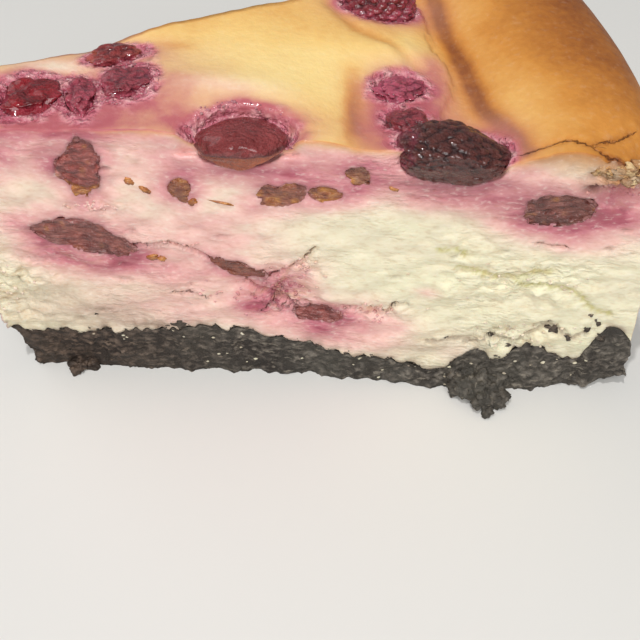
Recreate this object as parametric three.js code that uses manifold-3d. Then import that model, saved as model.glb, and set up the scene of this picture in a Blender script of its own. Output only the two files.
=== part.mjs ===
// A cut slice of baked cheesecake, in millimetres, +Z up.
//
// The slice was baked in a round tin and cut as a wedge. Its own measures are given in the cake's frame, where the
// tin's axis is x = 0, y = 0, the underside is z = 0 and the front cut runs out along +X. The last lines move the
// whole slice so that its origin is under the middle of its bounding box.
//
// The wedge has a dark crumb base, a cream filling with a puffed rim and torn spots, and berries in pockets of the
// filling: some lie on the top, the others were cut through with the slice and show on the two cuts.

import * as THREE from "three";
import { mergeVertices } from "three/addons/utils/BufferGeometryUtils.js";
import Module from "manifold-3d";

const wasm = await Module();
wasm.setup();

// Driving dimensions of the wedge
const TIN_RADIUS = 120;
const SLICE_ANGLE = THREE.MathUtils.degToRad(28);
const TIP_RADIUS = 17.5;
const TIP_UNDERCUT = 2.2;
const RIM_SPREAD = 0.6;
const CRUMB_SET_BACK = 0.3;
const FRONT_BELLY = 1.8;
const CORNER_LIFT = 3;
const GAP = 0.3;
const POCKET_GAP = 0.6;
const MIDDLE_X = 67.8;
const MIDDLE_Y = 24.4;

// Height of the top against the distance from the tin's axis: tip, dome, valley, puffed rim, rounded corner
const TOP_PROFILE = [
  [16, 52], [26, 52.4], [36, 52.4], [46, 53], [60, 52.4], [73, 51.3], [82, 49.2], [88, 47.6], [93.5, 46.6],
  [98, 48.6], [103, 50.2], [110, 50.5], [114, 49.8], [117, 48.2], [119, 45.6], [120, 41.5],
];
// Height of the crumb base's upper side along the front cut, where the filling sank into it
const BASE_FRONT_PROFILE = [
  [17, 10.2], [38, 10.3], [47, 12.1], [60, 11.2], [66, 9.4], [71, 7], [80, 5.2], [86, 3.8], [91, 4.6], [95.5, 9.4],
  [99, 6.9], [104, 10.6], [108, 8], [112, 7.6], [116, 15.8], [121, 10.5],
];
const BASE_HEIGHT = 10.2;
const BASE_UNEVENNESS = 1.1;
const FRONT_REACH = 7;

// The height that a profile of [place, height] points has at a place, on a smooth curve through its points.
function heightAlong(profile, place) {
  const last = profile.length - 1;
  const at = THREE.MathUtils.clamp(place, profile[0][0], profile[last][0]);
  let i = 0;
  while (i < last - 1 && at > profile[i + 1][0]) i += 1;
  const slope = (k) => {
    const [x0, z0] = profile[Math.max(k - 1, 0)];
    const [x1, z1] = profile[Math.min(k + 1, last)];
    return (z1 - z0) / (x1 - x0);
  };
  const width = profile[i + 1][0] - profile[i][0];
  const t = (at - profile[i][0]) / width;
  const start = (1 + 2 * t) * (1 - t) ** 2 * profile[i][1] + t * (1 - t) ** 2 * width * slope(i);
  const end = t * t * (3 - 2 * t) * profile[i + 1][1] - t * t * (1 - t) * width * slope(i + 1);
  return start + end;
}

// Smooth unevenness between about -1 and 1 over a plane: three crossed sine waves of unlike length and direction.
function waver(p, q, wave, phase) {
  const turn = 2 * Math.PI;
  const crossed = Math.sin((turn * p) / wave + phase) * Math.cos((turn * q) / (0.83 * wave) + 1.7 * phase);
  const slanted = Math.sin((turn * (0.57 * p - 0.81 * q)) / (0.61 * wave) + 2.3 * phase);
  const fine = Math.sin((turn * (0.93 * p + 0.36 * q)) / (0.37 * wave) + 4.1 * phase);
  return 0.5 * crossed + 0.3 * slanted + 0.2 * fine;
}

// A round hill of height 1 at a point, with half widths a and b, that fades to nothing.
function hill(p, q, centre, a, b) {
  return Math.exp(-(((p - centre[0]) / a) ** 2) - ((q - centre[1]) / b) ** 2);
}

// Height of the crumb base's upper side, which is also the filling's underside.
function baseTop(x, y) {
  const front = Math.exp(-((y / FRONT_REACH) ** 2));
  const inside = BASE_HEIGHT + BASE_UNEVENNESS * waver(x, y, 15, 0.6);
  return front * heightAlong(BASE_FRONT_PROFILE, x) + (1 - front) * inside;
}

// Hills and hollows of the top: centre, half widths and height. In order they are the fold beside the rim, the
// swell above the halved berry, the swell at the torn tip, the soft dip before the dark berry, the hollow of the
// halved berry, the sunk torn crust at the rim's front corner, and the sag of the rear edge.
const TOP_FEATURES = [
  { centre: [82, 23], half: [6, 3.2], height: 0.9 },
  { centre: [56, 10], half: [11, 4], height: 0.8 },
  { centre: [27, 11], half: [7, 4], height: 1.3 },
  { centre: [77.5, 9], half: [4.5, 10], height: -1.2 },
  { centre: [60.4, 1], half: [6.5, 4.5], height: -1.6 },
  { centre: [116, 0], half: [7, 6], height: -2.6 },
  { centre: [38, 20], half: [9, 3.5], height: -1 },
];
const SKIN_EDGE_RADIUS = 90;
const SKIN_STEP = 1.1;

// Height of the filling's top: the profile, a slow swell, the step at the edge of the torn skin, and the features.
function topHeight(x, y) {
  const r = Math.hypot(x, y);
  const inner = THREE.MathUtils.smoothstep(SKIN_EDGE_RADIUS + 2 * waver(x, y, 19, 0.8) - r, -0.8, 1.6);
  const dome = THREE.MathUtils.smoothstep(r, 70, SKIN_EDGE_RADIUS);
  let z = heightAlong(TOP_PROFILE, r) + 0.4 * waver(x, y, 38, 1.1) * THREE.MathUtils.smoothstep(100 - r, 0, 15);
  z += SKIN_STEP * inner * dome;
  for (const { centre, half, height } of TOP_FEATURES) z += height * hill(x, y, centre, ...half);
  return z;
}

// How far the front cut's surface lies behind the plane of the cut: ripples from the knife, the torn hollow under
// the long berry, the crack beside it, and the cavity that opened under the rim's crust.
function frontRelief(x, z) {
  let depth = 0.35 * waver(x, z * 1.8, 21, 0.4) + 0.2 * waver(x, z, 7, 2.2);
  depth += 2.2 * hill(x, z, [64.5, 20.5], 4.6, 4.2);
  depth += 1.2 * hill(x, z, [76, 17.2], 7, 1.6);
  depth += 2.4 * hill(x, z, [113, 43], 4, 1.4);
  depth += 0.7 * hill(x, z, [22, 20], 7, 9);
  return depth;
}

// The same for the rear cut, which is smoother: ripples, and one torn hollow.
function rearRelief(along, z) {
  const ripples = 0.4 * waver(along, z * 1.6, 23, 3.1) + 0.2 * waver(along, z, 8, 0.9);
  return ripples + 1.8 * hill(along, z, [82, 21], 6, 4);
}

// The skin of a block of cells, counted along u, v and w, with each corner placed by place(u, v, w). The block's six
// sides share their edges, so the skin is closed, and it faces out where u, v and w are right-handed.
function blockGeometry(cells, place) {
  const [nu, nv, nw] = cells;
  const positions = [];
  const numbers = new Map();
  const corner = (i, j, k) => {
    const key = (i * (nv + 1) + j) * (nw + 1) + k;
    if (!numbers.has(key)) {
      numbers.set(key, positions.length / 3);
      positions.push(...place(i / nu, j / nv, k / nw));
    }
    return numbers.get(key);
  };
  const faces = [];
  const side = (na, nb, at) => {
    for (let a = 0; a < na; a += 1) {
      for (let b = 0; b < nb; b += 1) {
        const [p, q, r, s] = [at(a, b), at(a + 1, b), at(a + 1, b + 1), at(a, b + 1)];
        if ((a + b) % 2) faces.push(p, q, r, p, r, s);
        else faces.push(p, q, s, q, r, s);
      }
    }
  };
  side(nu, nv, (a, b) => corner(a, b, nw));
  side(nv, nu, (a, b) => corner(b, a, 0));
  side(nu, nw, (a, b) => corner(a, 0, b));
  side(nw, nu, (a, b) => corner(b, nv, a));
  side(nv, nw, (a, b) => corner(nu, a, b));
  side(nw, nv, (a, b) => corner(0, b, a));
  const geometry = new THREE.BufferGeometry();
  geometry.setAttribute("position", new THREE.Float32BufferAttribute(positions, 3));
  geometry.setIndex(faces);
  return geometry;
}

// A point of the wedge moved in from the two cuts by their depths, fully where its share v of the slice's angle is
// 0 at the front cut or 1 at the rear cut, and less towards the middle.
function movedIn([x, y, z], v, frontDepth, rearDepth) {
  const front = frontDepth * (1 - v) ** 3;
  const rear = rearDepth * v ** 3;
  return [x + rear * Math.sin(SLICE_ANGLE), y + front - rear * Math.cos(SLICE_ANGLE), z];
}

// Spreads cells evenly, but puts them closer together at the far end, where the rim's corner is round.
function towardsRim(u) {
  return u + 0.09 * Math.sin(2 * Math.PI * u) * u;
}

// The filling: from the base up to its own top, with a torn blunt tip and the tin's straight side.
function fillingPoint(u, v, w) {
  const angle = v * SLICE_ANGLE;
  const tip = TIP_RADIUS + 0.8 * waver(v * 9, w * 45, 13, 0.2) - 1.6 * w * (1 - w);
  const wall = TIN_RADIUS - 0.25 * (1 + waver(v * 55, w * 40, 24, 1.9));
  const r = THREE.MathUtils.lerp(tip, wall, towardsRim(u));
  const x = r * Math.cos(angle);
  const y = r * Math.sin(angle);
  const z = THREE.MathUtils.lerp(baseTop(x, y), topHeight(x, y), w);
  return movedIn([x, y, z], v, frontRelief(x, z), rearRelief(r, z));
}

// The crumb base: it starts a gap below the filling's underside, and its crumbly sides leave the filling's outline
// on the way down to a flat underside. At the tip it draws back under the filling, at the rim it spreads, near the
// clump its front bulges, and its corner at the rim's front is broken off underneath.
function basePoint(u, v, w) {
  const [x, y, top] = fillingPoint(u, v, 0);
  const angle = v * SLICE_ANGLE;
  const down = Math.sqrt(1 - w);
  const tip = (TIP_UNDERCUT + 1.1 * waver(v * 9, w * 10, 6, 2.7)) * (1 - u) ** 6;
  const rim = (RIM_SPREAD + 0.7 * waver(v * 55, w * 10, 9, 0.3)) * u ** 6;
  const out = (tip + rim) * down;
  const crumbs = (phase) => (CRUMB_SET_BACK + 0.75 * waver(x, w * 9, 8, phase)) * down;
  const belly = FRONT_BELLY * hill(x, w, [93, 0], 17, 0.8);
  const lift = CORNER_LIFT * (1 - w) * hill(x, y, [121, 0], 6, 6);
  const point = [x + out * Math.cos(angle), y + out * Math.sin(angle), w * (top - GAP) + lift];
  return movedIn(point, v, crumbs(1.3) - belly, crumbs(4.4));
}

// Turns a closed geometry into a solid that can be joined and cut.
function solidOf(geometry) {
  const bare = geometry.clone();
  bare.deleteAttribute("normal");
  bare.deleteAttribute("uv");
  const merged = mergeVertices(bare, 1e-4);
  const vertProperties = merged.attributes.position.array;
  const triVerts = new Uint32Array(merged.index.array);
  return new wasm.Manifold(new wasm.Mesh({ numProp: 3, vertProperties, triVerts }));
}

// Makes the named mesh of a finished solid.
function meshOf(name, solid, material) {
  const { vertProperties, triVerts } = solid.getMesh();
  const geometry = new THREE.BufferGeometry();
  geometry.setAttribute("position", new THREE.BufferAttribute(vertProperties, 3));
  geometry.setIndex(new THREE.BufferAttribute(triVerts, 1));
  geometry.computeVertexNormals();
  const mesh = new THREE.Mesh(geometry, material);
  mesh.name = name;
  return mesh;
}

// An egg-shaped solid with half sizes half, turned by Euler angles in degrees and moved to centre. Bumps are the
// drupelets: raised caps round points spread over the egg on a spiral, as high as bump times its size.
function eggSolid({ centre, half, turn = [0, 0, 0], drupelets = 0, bump = 0, detail = 2 }, grow = 0) {
  const geometry = new THREE.IcosahedronGeometry(1, detail);
  const position = geometry.attributes.position;
  const caps = [];
  for (let i = 0; i < drupelets; i += 1) {
    const height = 1 - (2 * i + 1) / drupelets;
    const around = i * Math.PI * (3 - Math.sqrt(5));
    const out = Math.sqrt(1 - height * height);
    caps.push(new THREE.Vector3(out * Math.cos(around), out * Math.sin(around), height));
  }
  const capAngle = 2 / Math.sqrt(Math.max(drupelets, 1));
  const point = new THREE.Vector3();
  for (let i = 0; i < position.count; i += 1) {
    point.fromBufferAttribute(position, i);
    const nearest = caps.reduce((least, cap) => Math.min(least, point.angleTo(cap)), capAngle);
    const size = 1 - bump + bump * Math.sqrt(1 - (nearest / capAngle) ** 2);
    point.multiplyScalar(size);
    point.multiply(new THREE.Vector3(half[0] + grow, half[1] + grow, half[2] + grow));
    position.setXYZ(i, point.x, point.y, point.z);
  }
  const angles = turn.map(THREE.MathUtils.degToRad);
  const place = new THREE.Matrix4().makeRotationFromEuler(new THREE.Euler(...angles));
  place.setPosition(...centre);
  return solidOf(geometry.applyMatrix4(place));
}

// A block much larger than the slice that fills everything in front of the front cut's plane moved in by depth.
const BEYOND = 400;
function beforeFrontCut(depth) {
  const box = new THREE.BoxGeometry(BEYOND, BEYOND, BEYOND);
  return solidOf(box.translate(0, depth - BEYOND / 2, 0));
}

// The same behind the rear cut.
function behindRearCut(depth) {
  const box = new THREE.BoxGeometry(BEYOND, BEYOND, BEYOND);
  box.translate(0, BEYOND / 2 - depth, 0).rotateZ(SLICE_ANGLE);
  return solidOf(box);
}

// Everything under the floor of the slice.
function underFloor() {
  return solidOf(new THREE.BoxGeometry(BEYOND, BEYOND, BEYOND).translate(0, 0, -BEYOND / 2));
}

// Berries on the top, in the cake's frame. Those of the front edge are cut by the front cut, a little proud of it.
const TOP_BERRIES = [
  { name: "berry_top_back", centre: [77.9, 36.4, 48.6], half: [6.2, 4.5, 3.6], drupelets: 32, bump: 0.14, detail: 3 },
  { name: "berry_top_crushed", centre: [81.6, 15, 48.2], half: [4, 3.6, 2.2], turn: [0, 8, 20], drupelets: 18,
    bump: 0.2 },
  { name: "berry_edge_dark", centre: [89.2, 2.4, 47.3], half: [8.3, 6, 3.7], turn: [0, 4, -8], drupelets: 44,
    bump: 0.1, detail: 4, front: -1.2 },
  { name: "berry_edge_side", centre: [82.6, 7.4, 48.1], half: [3.2, 2.6, 2.4], turn: [0, 0, -35], drupelets: 16,
    bump: 0.15 },
  { name: "berry_edge_halved", centre: [60.4, 1.8, 49.1], half: [6.9, 4.4, 2.8], detail: 3, front: -0.7 },
  { name: "berry_tip_dark", centre: [40.6, 17, 52.2], half: [4.4, 2.4, 2.1], turn: [0, 0, 12], drupelets: 18,
    bump: 0.16 },
  { name: "berry_tip_middle", centre: [43.6, 10, 52.6], half: [3.5, 3.6, 2.4], drupelets: 20, bump: 0.16 },
  { name: "berry_tip_near", centre: [37.5, 7, 52.4], half: [2.3, 3.7, 2.2], turn: [0, 0, 14], drupelets: 16,
    bump: 0.16 },
  { name: "berry_tip_red", centre: [30.3, 6.8, 52.2], half: [3.9, 4, 2.4], turn: [0, 0, -20], drupelets: 20,
    bump: 0.14 },
  { name: "berry_tip_end", centre: [25, 3, 51.6], half: [1.7, 3, 2], turn: [0, 0, 10], drupelets: 12, bump: 0.16 },
];

// Berries cut through by the front cut: place along the cut and height, half sizes, and slant in degrees.
const FRONT_BERRIES = [
  { name: "berry_front_upper", at: [37.6, 45.4], half: [3.3, 4, 5], slant: 8 },
  { name: "berry_front_long", at: [35.2, 32.1], half: [7.3, 4, 2.6], slant: 15 },
  { name: "berry_front_rim", at: [104.8, 39.5], half: [5.3, 4.5, 2.8], slant: 2 },
  { name: "berry_front_strip", at: [58.1, 25.8], half: [5.1, 3, 1.6], slant: 33 },
  { name: "berry_front_low", at: [70.1, 15.8], half: [3.9, 3, 1.2], slant: 5 },
  { name: "berry_front_bit_1", at: [65.9, 41.9], half: [3, 2.6, 2.1], slant: -20 },
  { name: "berry_front_bit_2", at: [72.2, 42], half: [2.5, 2.4, 1.5], slant: 8 },
  { name: "berry_front_bit_3", at: [76.7, 45.2], half: [1.7, 2.2, 1.7], slant: 0 },
  { name: "berry_front_bit_4", at: [51, 41.9], half: [1.8, 2.2, 2.1], slant: 25 },
];

// Berries cut through by the rear cut, which the front cut's berries are the pattern for.
const REAR_BERRIES = [
  { name: "berry_rear_upper", at: [47, 42.5], half: [5.2, 4, 3.4], slant: -12 },
  { name: "berry_rear_long", at: [66, 31], half: [6.6, 4, 2.7], slant: 18 },
  { name: "berry_rear_round", at: [92, 38], half: [4.6, 4, 3.9], slant: 0 },
  { name: "berry_rear_low", at: [57, 17.5], half: [4.2, 3.2, 2], slant: -8 },
  { name: "berry_rear_small", at: [105, 27], half: [3.2, 2.8, 2.2], slant: 20 },
];
const BERRY_SET_IN = 0.15;

// Materials
const crumb = new THREE.MeshStandardMaterial({ color: 0x453b36, roughness: 0.95, metalness: 0 });
const cream = new THREE.MeshStandardMaterial({ color: 0xeadfc0, roughness: 0.7, metalness: 0 });
const berryFlesh = new THREE.MeshStandardMaterial({ color: 0x7a4038, roughness: 0.35, metalness: 0 });

// The berries' solids, each with the pocket that it lies in
const berries = [];
for (const berry of TOP_BERRIES) {
  let solid = eggSolid(berry);
  if (berry.front !== undefined) solid = solid.subtract(beforeFrontCut(berry.front));
  const pocket = eggSolid({ ...berry, bump: 0, detail: 1 }, POCKET_GAP);
  berries.push({ name: berry.name, solid, pocket });
}
for (const { name, at, half, slant } of FRONT_BERRIES) {
  const egg = { centre: [at[0], 0, at[1]], half, turn: [0, slant, 0] };
  const behind = frontRelief(...at) + BERRY_SET_IN;
  const solid = eggSolid(egg).subtract(beforeFrontCut(behind));
  berries.push({ name, solid, pocket: eggSolid({ ...egg, detail: 1 }, POCKET_GAP) });
}
for (const { name, at, half, slant } of REAR_BERRIES) {
  const centre = [at[0] * Math.cos(SLICE_ANGLE), at[0] * Math.sin(SLICE_ANGLE), at[1]];
  const egg = { centre, half, turn: [0, slant, THREE.MathUtils.radToDeg(SLICE_ANGLE)] };
  const behind = rearRelief(...at) + BERRY_SET_IN;
  const solid = eggSolid(egg).subtract(behindRearCut(behind));
  berries.push({ name, solid, pocket: eggSolid({ ...egg, detail: 1 }, POCKET_GAP) });
}
// The side berry lies against the dark one, so it gives way to it.
const dark = berries.find((berry) => berry.name === "berry_edge_dark");
const side = berries.find((berry) => berry.name === "berry_edge_side");
side.solid = side.solid.subtract(dark.pocket);

// The crumb base, with the clump that fell forward from it and a crumb that hangs from its front
const CLUMP = [
  { centre: [95.6, -2, 3.2], half: [4.4, 4, 3.6], drupelets: 14, bump: 0.16 },
  { centre: [97.8, -3.6, 1.7], half: [3.4, 3.3, 2.3], drupelets: 12, bump: 0.18 },
  { centre: [98, -6.3, 0.6], half: [1.2, 1.9, 1.1], detail: 1 },
  { centre: [28.2, -0.2, 1], half: [1.9, 2.3, 1.4], detail: 1 },
];
let base = solidOf(blockGeometry([36, 8, 3], basePoint));
for (const lump of CLUMP) base = base.add(eggSolid(lump));
base = base.subtract(underFloor());

// The filling, with a pocket for each berry and clear of the clump
let filling = solidOf(blockGeometry([36, 8, 12], fillingPoint));
for (const { pocket } of berries) filling = filling.subtract(pocket);
for (const lump of CLUMP) filling = filling.subtract(eggSolid(lump, GAP));

const slice = new THREE.Group();
slice.name = "cheesecake_slice";
slice.add(meshOf("crumb_base", base, crumb));
slice.add(meshOf("filling", filling, cream));
for (const { name, solid } of berries) slice.add(meshOf(name, solid, berryFlesh));
slice.position.set(-MIDDLE_X, -MIDDLE_Y, 0);

export default slice;
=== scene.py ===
import math

import bpy
import numpy as np
from mathutils import Matrix, Vector


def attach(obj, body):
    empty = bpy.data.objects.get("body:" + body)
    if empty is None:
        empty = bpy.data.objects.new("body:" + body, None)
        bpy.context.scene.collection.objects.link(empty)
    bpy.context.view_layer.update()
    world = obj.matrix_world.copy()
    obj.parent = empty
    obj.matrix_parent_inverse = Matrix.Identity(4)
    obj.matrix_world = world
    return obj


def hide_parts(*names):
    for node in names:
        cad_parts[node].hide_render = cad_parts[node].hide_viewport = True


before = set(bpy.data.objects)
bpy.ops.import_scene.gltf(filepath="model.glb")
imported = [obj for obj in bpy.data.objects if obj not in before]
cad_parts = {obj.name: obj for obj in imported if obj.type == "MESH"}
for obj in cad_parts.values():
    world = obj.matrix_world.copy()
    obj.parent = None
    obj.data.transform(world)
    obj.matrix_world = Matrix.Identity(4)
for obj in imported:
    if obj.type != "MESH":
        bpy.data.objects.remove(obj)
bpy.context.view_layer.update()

# The filling: cream cheese, eggs and sugar baked in one block on the crumb base, in a round springform tin.
# Its rim puffed up and browned, its middle stayed pale. Two strokes of a knife cut the wedge out, and its
# tip tore off. All lengths are millimetres in the cake's frame: the tin's axis at x = 0, y = 0, the front
# cut along +X.
MM = 0.001
FILLING_CELLS = (310, 50, 88)
BASE_CELLS = (340, 24, 40)
CRUST_CORNER = (112, 46.5)
MIDDLE_X, MIDDLE_Y = 67.8, 24.4
TIN_RADIUS = 120.0
TIP_RADIUS = 17.5
SLICE_ANGLE = math.radians(28)
SEAM_GAP = 0.3
TOP_PROFILE = [
    (16, 52), (26, 52.4), (36, 52.4), (46, 53), (60, 52.4), (73, 51.3), (82, 49.2), (88, 47.6), (93.5, 46.6),
    (98, 48.6), (103, 50.2), (110, 50.5), (114, 49.8), (117, 48.2), (119, 45.6), (120, 41.5),
]
SEAM_PROFILE = [
    (17, 10.2), (38, 10.3), (47, 12.1), (60, 11.2), (66, 9.4), (71, 7), (80, 5.2), (86, 3.8), (91, 4.6),
    (95.5, 9.4), (99, 6.9), (104, 10.6), (108, 8), (112, 7.6), (116, 15.8), (121, 10.5),
]
DOWN = np.array([0, 0, -1.0])
INTO_FRONT = np.array([0, 1.0, 0])
INTO_EDGE = np.array([0, 0.6, -0.8])
REAR_NORMAL = np.array([-math.sin(SLICE_ANGLE), math.cos(SLICE_ANGLE), 0])
ALONG_REAR = np.array([math.cos(SLICE_ANGLE), math.sin(SLICE_ANGLE), 0])


def height_along(profile, place):
    """Height on a smooth curve through a profile's points: cubic stretches whose slope at each point is
    that of the line between its two neighbours."""
    at, height = np.array(profile, float).T
    before = np.r_[0, np.arange(len(at) - 1)]
    after = np.r_[np.arange(1, len(at)), len(at) - 1]
    slope = (height[after] - height[before]) / (at[after] - at[before])
    place = np.clip(place, at[0], at[-1])
    i = np.clip(np.searchsorted(at, place) - 1, 0, len(at) - 2)
    width = at[i + 1] - at[i]
    t = (place - at[i]) / width
    start = (1 + 2 * t) * (1 - t) ** 2 * height[i] + t * (1 - t) ** 2 * width * slope[i]
    end = t * t * (3 - 2 * t) * height[i + 1] - t * t * (1 - t) * width * slope[i + 1]
    return start + end


def waver(p, q, wave, phase):
    """Slow unevenness between about -1 and 1: three crossed sine waves of unlike length and direction."""
    turn = 2 * math.pi
    crossed = np.sin(turn * p / wave + phase) * np.cos(turn * q / (0.83 * wave) + 1.7 * phase)
    slanted = np.sin(turn * (0.57 * p - 0.81 * q) / (0.61 * wave) + 2.3 * phase)
    fine = np.sin(turn * (0.93 * p + 0.36 * q) / (0.37 * wave) + 4.1 * phase)
    return 0.5 * crossed + 0.3 * slanted + 0.2 * fine


def fade(distance, width):
    """From 1 at no distance to almost 0 at two widths: e to minus the squared distance in widths."""
    return np.exp(-((distance / width) ** 2))


def hill(p, q, centre, half):
    """A round hill of height 1 with the given half widths, e to minus the squared distance in them."""
    return np.exp(-((p - centre[0]) / half[0]) ** 2 - ((q - centre[1]) / half[1]) ** 2)


def hills(p, q, spots):
    """A round hill for each spot of centre, half widths and height."""
    return [height * hill(p, q, centre, half) for centre, half, height in spots]


def rise(value, low, high):
    """From 0 at low to 1 at high, by the curve 3t^2 - 2t^3."""
    t = np.clip((value - low) / (high - low), 0, 1)
    return t * t * (3 - 2 * t)


def lumps(places, size, seed):
    """Soft lumps between -1 and 1, about size apart: seeded random heights on a cubic lattice, blended
    across each cell by the curve 3t^2 - 2t^3. Size may be one number or one for each axis."""
    heights = np.random.default_rng(seed).uniform(-1, 1, (32, 32, 32))
    at = places / np.array(size)
    cell = np.floor(at).astype(int)
    t = at - cell
    t = t * t * (3 - 2 * t)
    total = 0
    for corner in np.ndindex(2, 2, 2):
        weight = np.prod(np.where(corner, t, 1 - t), axis=-1)
        x, y, z = np.moveaxis((cell + corner) % 32, -1, 0)
        total = total + weight * heights[x, y, z]
    return total


def grains(places, size, seed):
    """Distance from each place to the nearest of seeded points, one in each cell of a cubic lattice, with a
    random number from 0 to 1 that belongs to that point. Distances are in cells of the given size."""
    random = np.random.default_rng(seed).uniform(0, 1, (24, 24, 24, 4))
    at = places / np.array(size)
    cell = np.floor(at).astype(int)
    nearest = np.full(at.shape[:-1], 9.0)
    owner = np.zeros_like(nearest)
    for corner in np.ndindex(3, 3, 3):
        neighbour = cell + corner - 1
        x, y, z = np.moveaxis(neighbour % 24, -1, 0)
        draw = random[x, y, z]
        distance = np.linalg.norm(neighbour + draw[..., :3] - at, axis=-1)
        owner = np.where(distance < nearest, draw[..., 3], owner)
        nearest = np.minimum(distance, nearest)
    return nearest, owner


def off_stretch(p, q, start, end):
    """Distance from each place to a straight stretch, and 1 on its left or -1 on its right."""
    (p0, q0), (p1, q1) = start, end
    along = ((p - p0) * (p1 - p0) + (q - q0) * (q1 - q0)) / math.hypot(p1 - p0, q1 - q0) ** 2
    off_p = p - p0 - np.clip(along, 0, 1) * (p1 - p0)
    off_q = q - q0 - np.clip(along, 0, 1) * (q1 - q0)
    return np.hypot(off_p, off_q), np.sign((p1 - p0) * off_q - (q1 - q0) * off_p)


def line_distance(p, q, path):
    """Distance from each place to a path of straight stretches."""
    return np.min([off_stretch(p, q, *ends)[0] for ends in zip(path[:-1], path[1:])], axis=0)


def near_paths(p, q, paths, width):
    """How near each place is to the nearest of some paths: e to minus the squared distance in widths."""
    return fade(np.min([line_distance(p, q, path) for path in paths], axis=0), width)


def crack_lines(p, q, paths):
    """Distance from each place to the nearest of some paths, negative on the path's right, and how near it
    is: 1 up to 0.4 mm away, 0 from 1.2 mm. The sign lets the shader paint shade in a line finer than the
    mesh."""
    least, side = np.full(np.shape(p), 1e3), np.ones(np.shape(p))
    for path in paths:
        for ends in zip(path[:-1], path[1:]):
            away, left = off_stretch(p, q, *ends)
            side = np.where(away < least, left, side)
            least = np.minimum(least, away)
    return least * side, 1 - rise(least, 0.4, 1.2)


def overlaid(fields):
    """Fields from 0 to 1 laid over each other: 1 less the product of what each leaves of 1."""
    left = 1.0
    for field in fields:
        left = left * (1 - np.clip(field, 0, 1))
    return 1 - left


TOP_FEATURES = [
    ((82, 23), (6, 3.2), 0.9),
    ((53.8, 0), (2, 2.6), -1),
    ((67, 0), (2, 2.6), -1),
    ((56, 10), (11, 4), 0.8),
    ((27, 11), (7, 4), 1.3),
    ((77.5, 9), (4.5, 10), -1.2),
    ((60.4, 1), (6.5, 4.5), -1.6),
    ((116, 0), (7, 6), -2.6),
    ((38, 20), (9, 3.5), -1),
]
FRONT_HOLLOWS = [
    ((64.5, 20.5), (4.6, 4.2), 2.2), ((76, 17.2), (7, 1.6), 1.2), ((113, 43), (4, 1.4), 2.4),
    ((22, 20), (7, 9), 0.7),
]
SKIN_EDGE = [(-2, 87), (3.4, 87.2), (7, 88.6), (10.5, 91), (14, 91.6), (17.3, 90.4), (22.7, 92.6), (30, 92)]
SKIN_STEP = 1.1
RIM_CRACKS = [
    [(98.5, 1.4), (101.3, 1.8), (104.7, 3), (107.4, 2), (109, 3.1), (111.2, 4), (113.4, 6)],
    [(107.4, 2), (109, 0.9), (110.9, 0.4), (112.6, -0.8)],
]
FOLD = [(70.5, 34.3), (73.1, 30.7), (75, 28.1), (77.8, 26.6), (80.3, 25.3), (82.4, 22.6), (84.4, 19.9)]
VALLEY = [(86.5, 42), (88.5, 32), (91.5, 22), (93.8, 13), (97.7, 5.6), (98.8, 2)]


def seam_height(x, y):
    """Height of the seam between base and filling: a ragged profile at the front, level with waves
    elsewhere, and crumbs that stand up into the cream at the cuts."""
    front = fade(y, 7)
    inside = 10.2 + 1.1 * waver(x, y, 15, 0.6)
    places = np.stack([x, y, np.zeros_like(x)], -1)
    cut = fade(y, 1.5)
    ragged = 0.65 * lumps(places, 2.1, 15) + 0.6 * lumps(places, 0.9, 16)
    return front * height_along(SEAM_PROFILE, x) + (1 - front) * inside + ragged * cut


def top_height(x, y):
    """Height of the top: its profile from tip to rim, a slow swell, the step where the skin tore, hills
    and hollows, and the fold."""
    r = np.hypot(x, y)
    edge = height_along(SKIN_EDGE, np.degrees(np.arctan2(y, x)))
    edge = edge + 0.5 * waver(x, y, 4, 0.8) + 0.25 * waver(x, y, 1.7, 1.8)
    z = height_along(TOP_PROFILE, r) + 0.4 * waver(x, y, 38, 1.1) * rise(100 - r, 0, 15)
    z = z + SKIN_STEP * rise(edge - r, -0.3, 0.6) * rise(r, 70, 90)
    return z + sum(hills(x, y, TOP_FEATURES)) - 0.5 * near_paths(x, y, [FOLD], 1.1)


def front_relief(x, z):
    """How far the front cut lies behind its plane: waves from the knife, and the large torn hollows."""
    depth = 0.35 * waver(x, z * 1.8, 21, 0.4) + 0.2 * waver(x, z, 7, 2.2)
    return depth + sum(hills(x, z, FRONT_HOLLOWS))


def rear_relief(along, z):
    """The same for the rear cut."""
    depth = 0.4 * waver(along, z * 1.6, 23, 3.1) + 0.2 * waver(along, z, 8, 0.9)
    return depth + 1.8 * hill(along, z, (82, 21), (6, 4))


def block_skin(nu, nv, nw):
    """The skin of a block of cells: its corners' shares u, v, w, and its faces, which all look out."""
    number = np.full((nu + 1, nv + 1, nw + 1), -1)
    skin = np.ones(number.shape, bool)
    skin[1:-1, 1:-1, 1:-1] = False
    number[skin] = np.arange(skin.sum())
    u, v, w = np.nonzero(skin)
    sides = [
        number[:, :, -1], number[:, :, 0].T, number[:, 0, :], number[:, -1, :].T, number[-1], number[0].T
    ]
    faces = [
        np.stack([s[:-1, :-1], s[1:, :-1], s[1:, 1:], s[:-1, 1:]], -1).reshape(-1, 4) for s in sides
    ]
    return u / nu, v / nv, w / nw, np.concatenate(faces)


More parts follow.
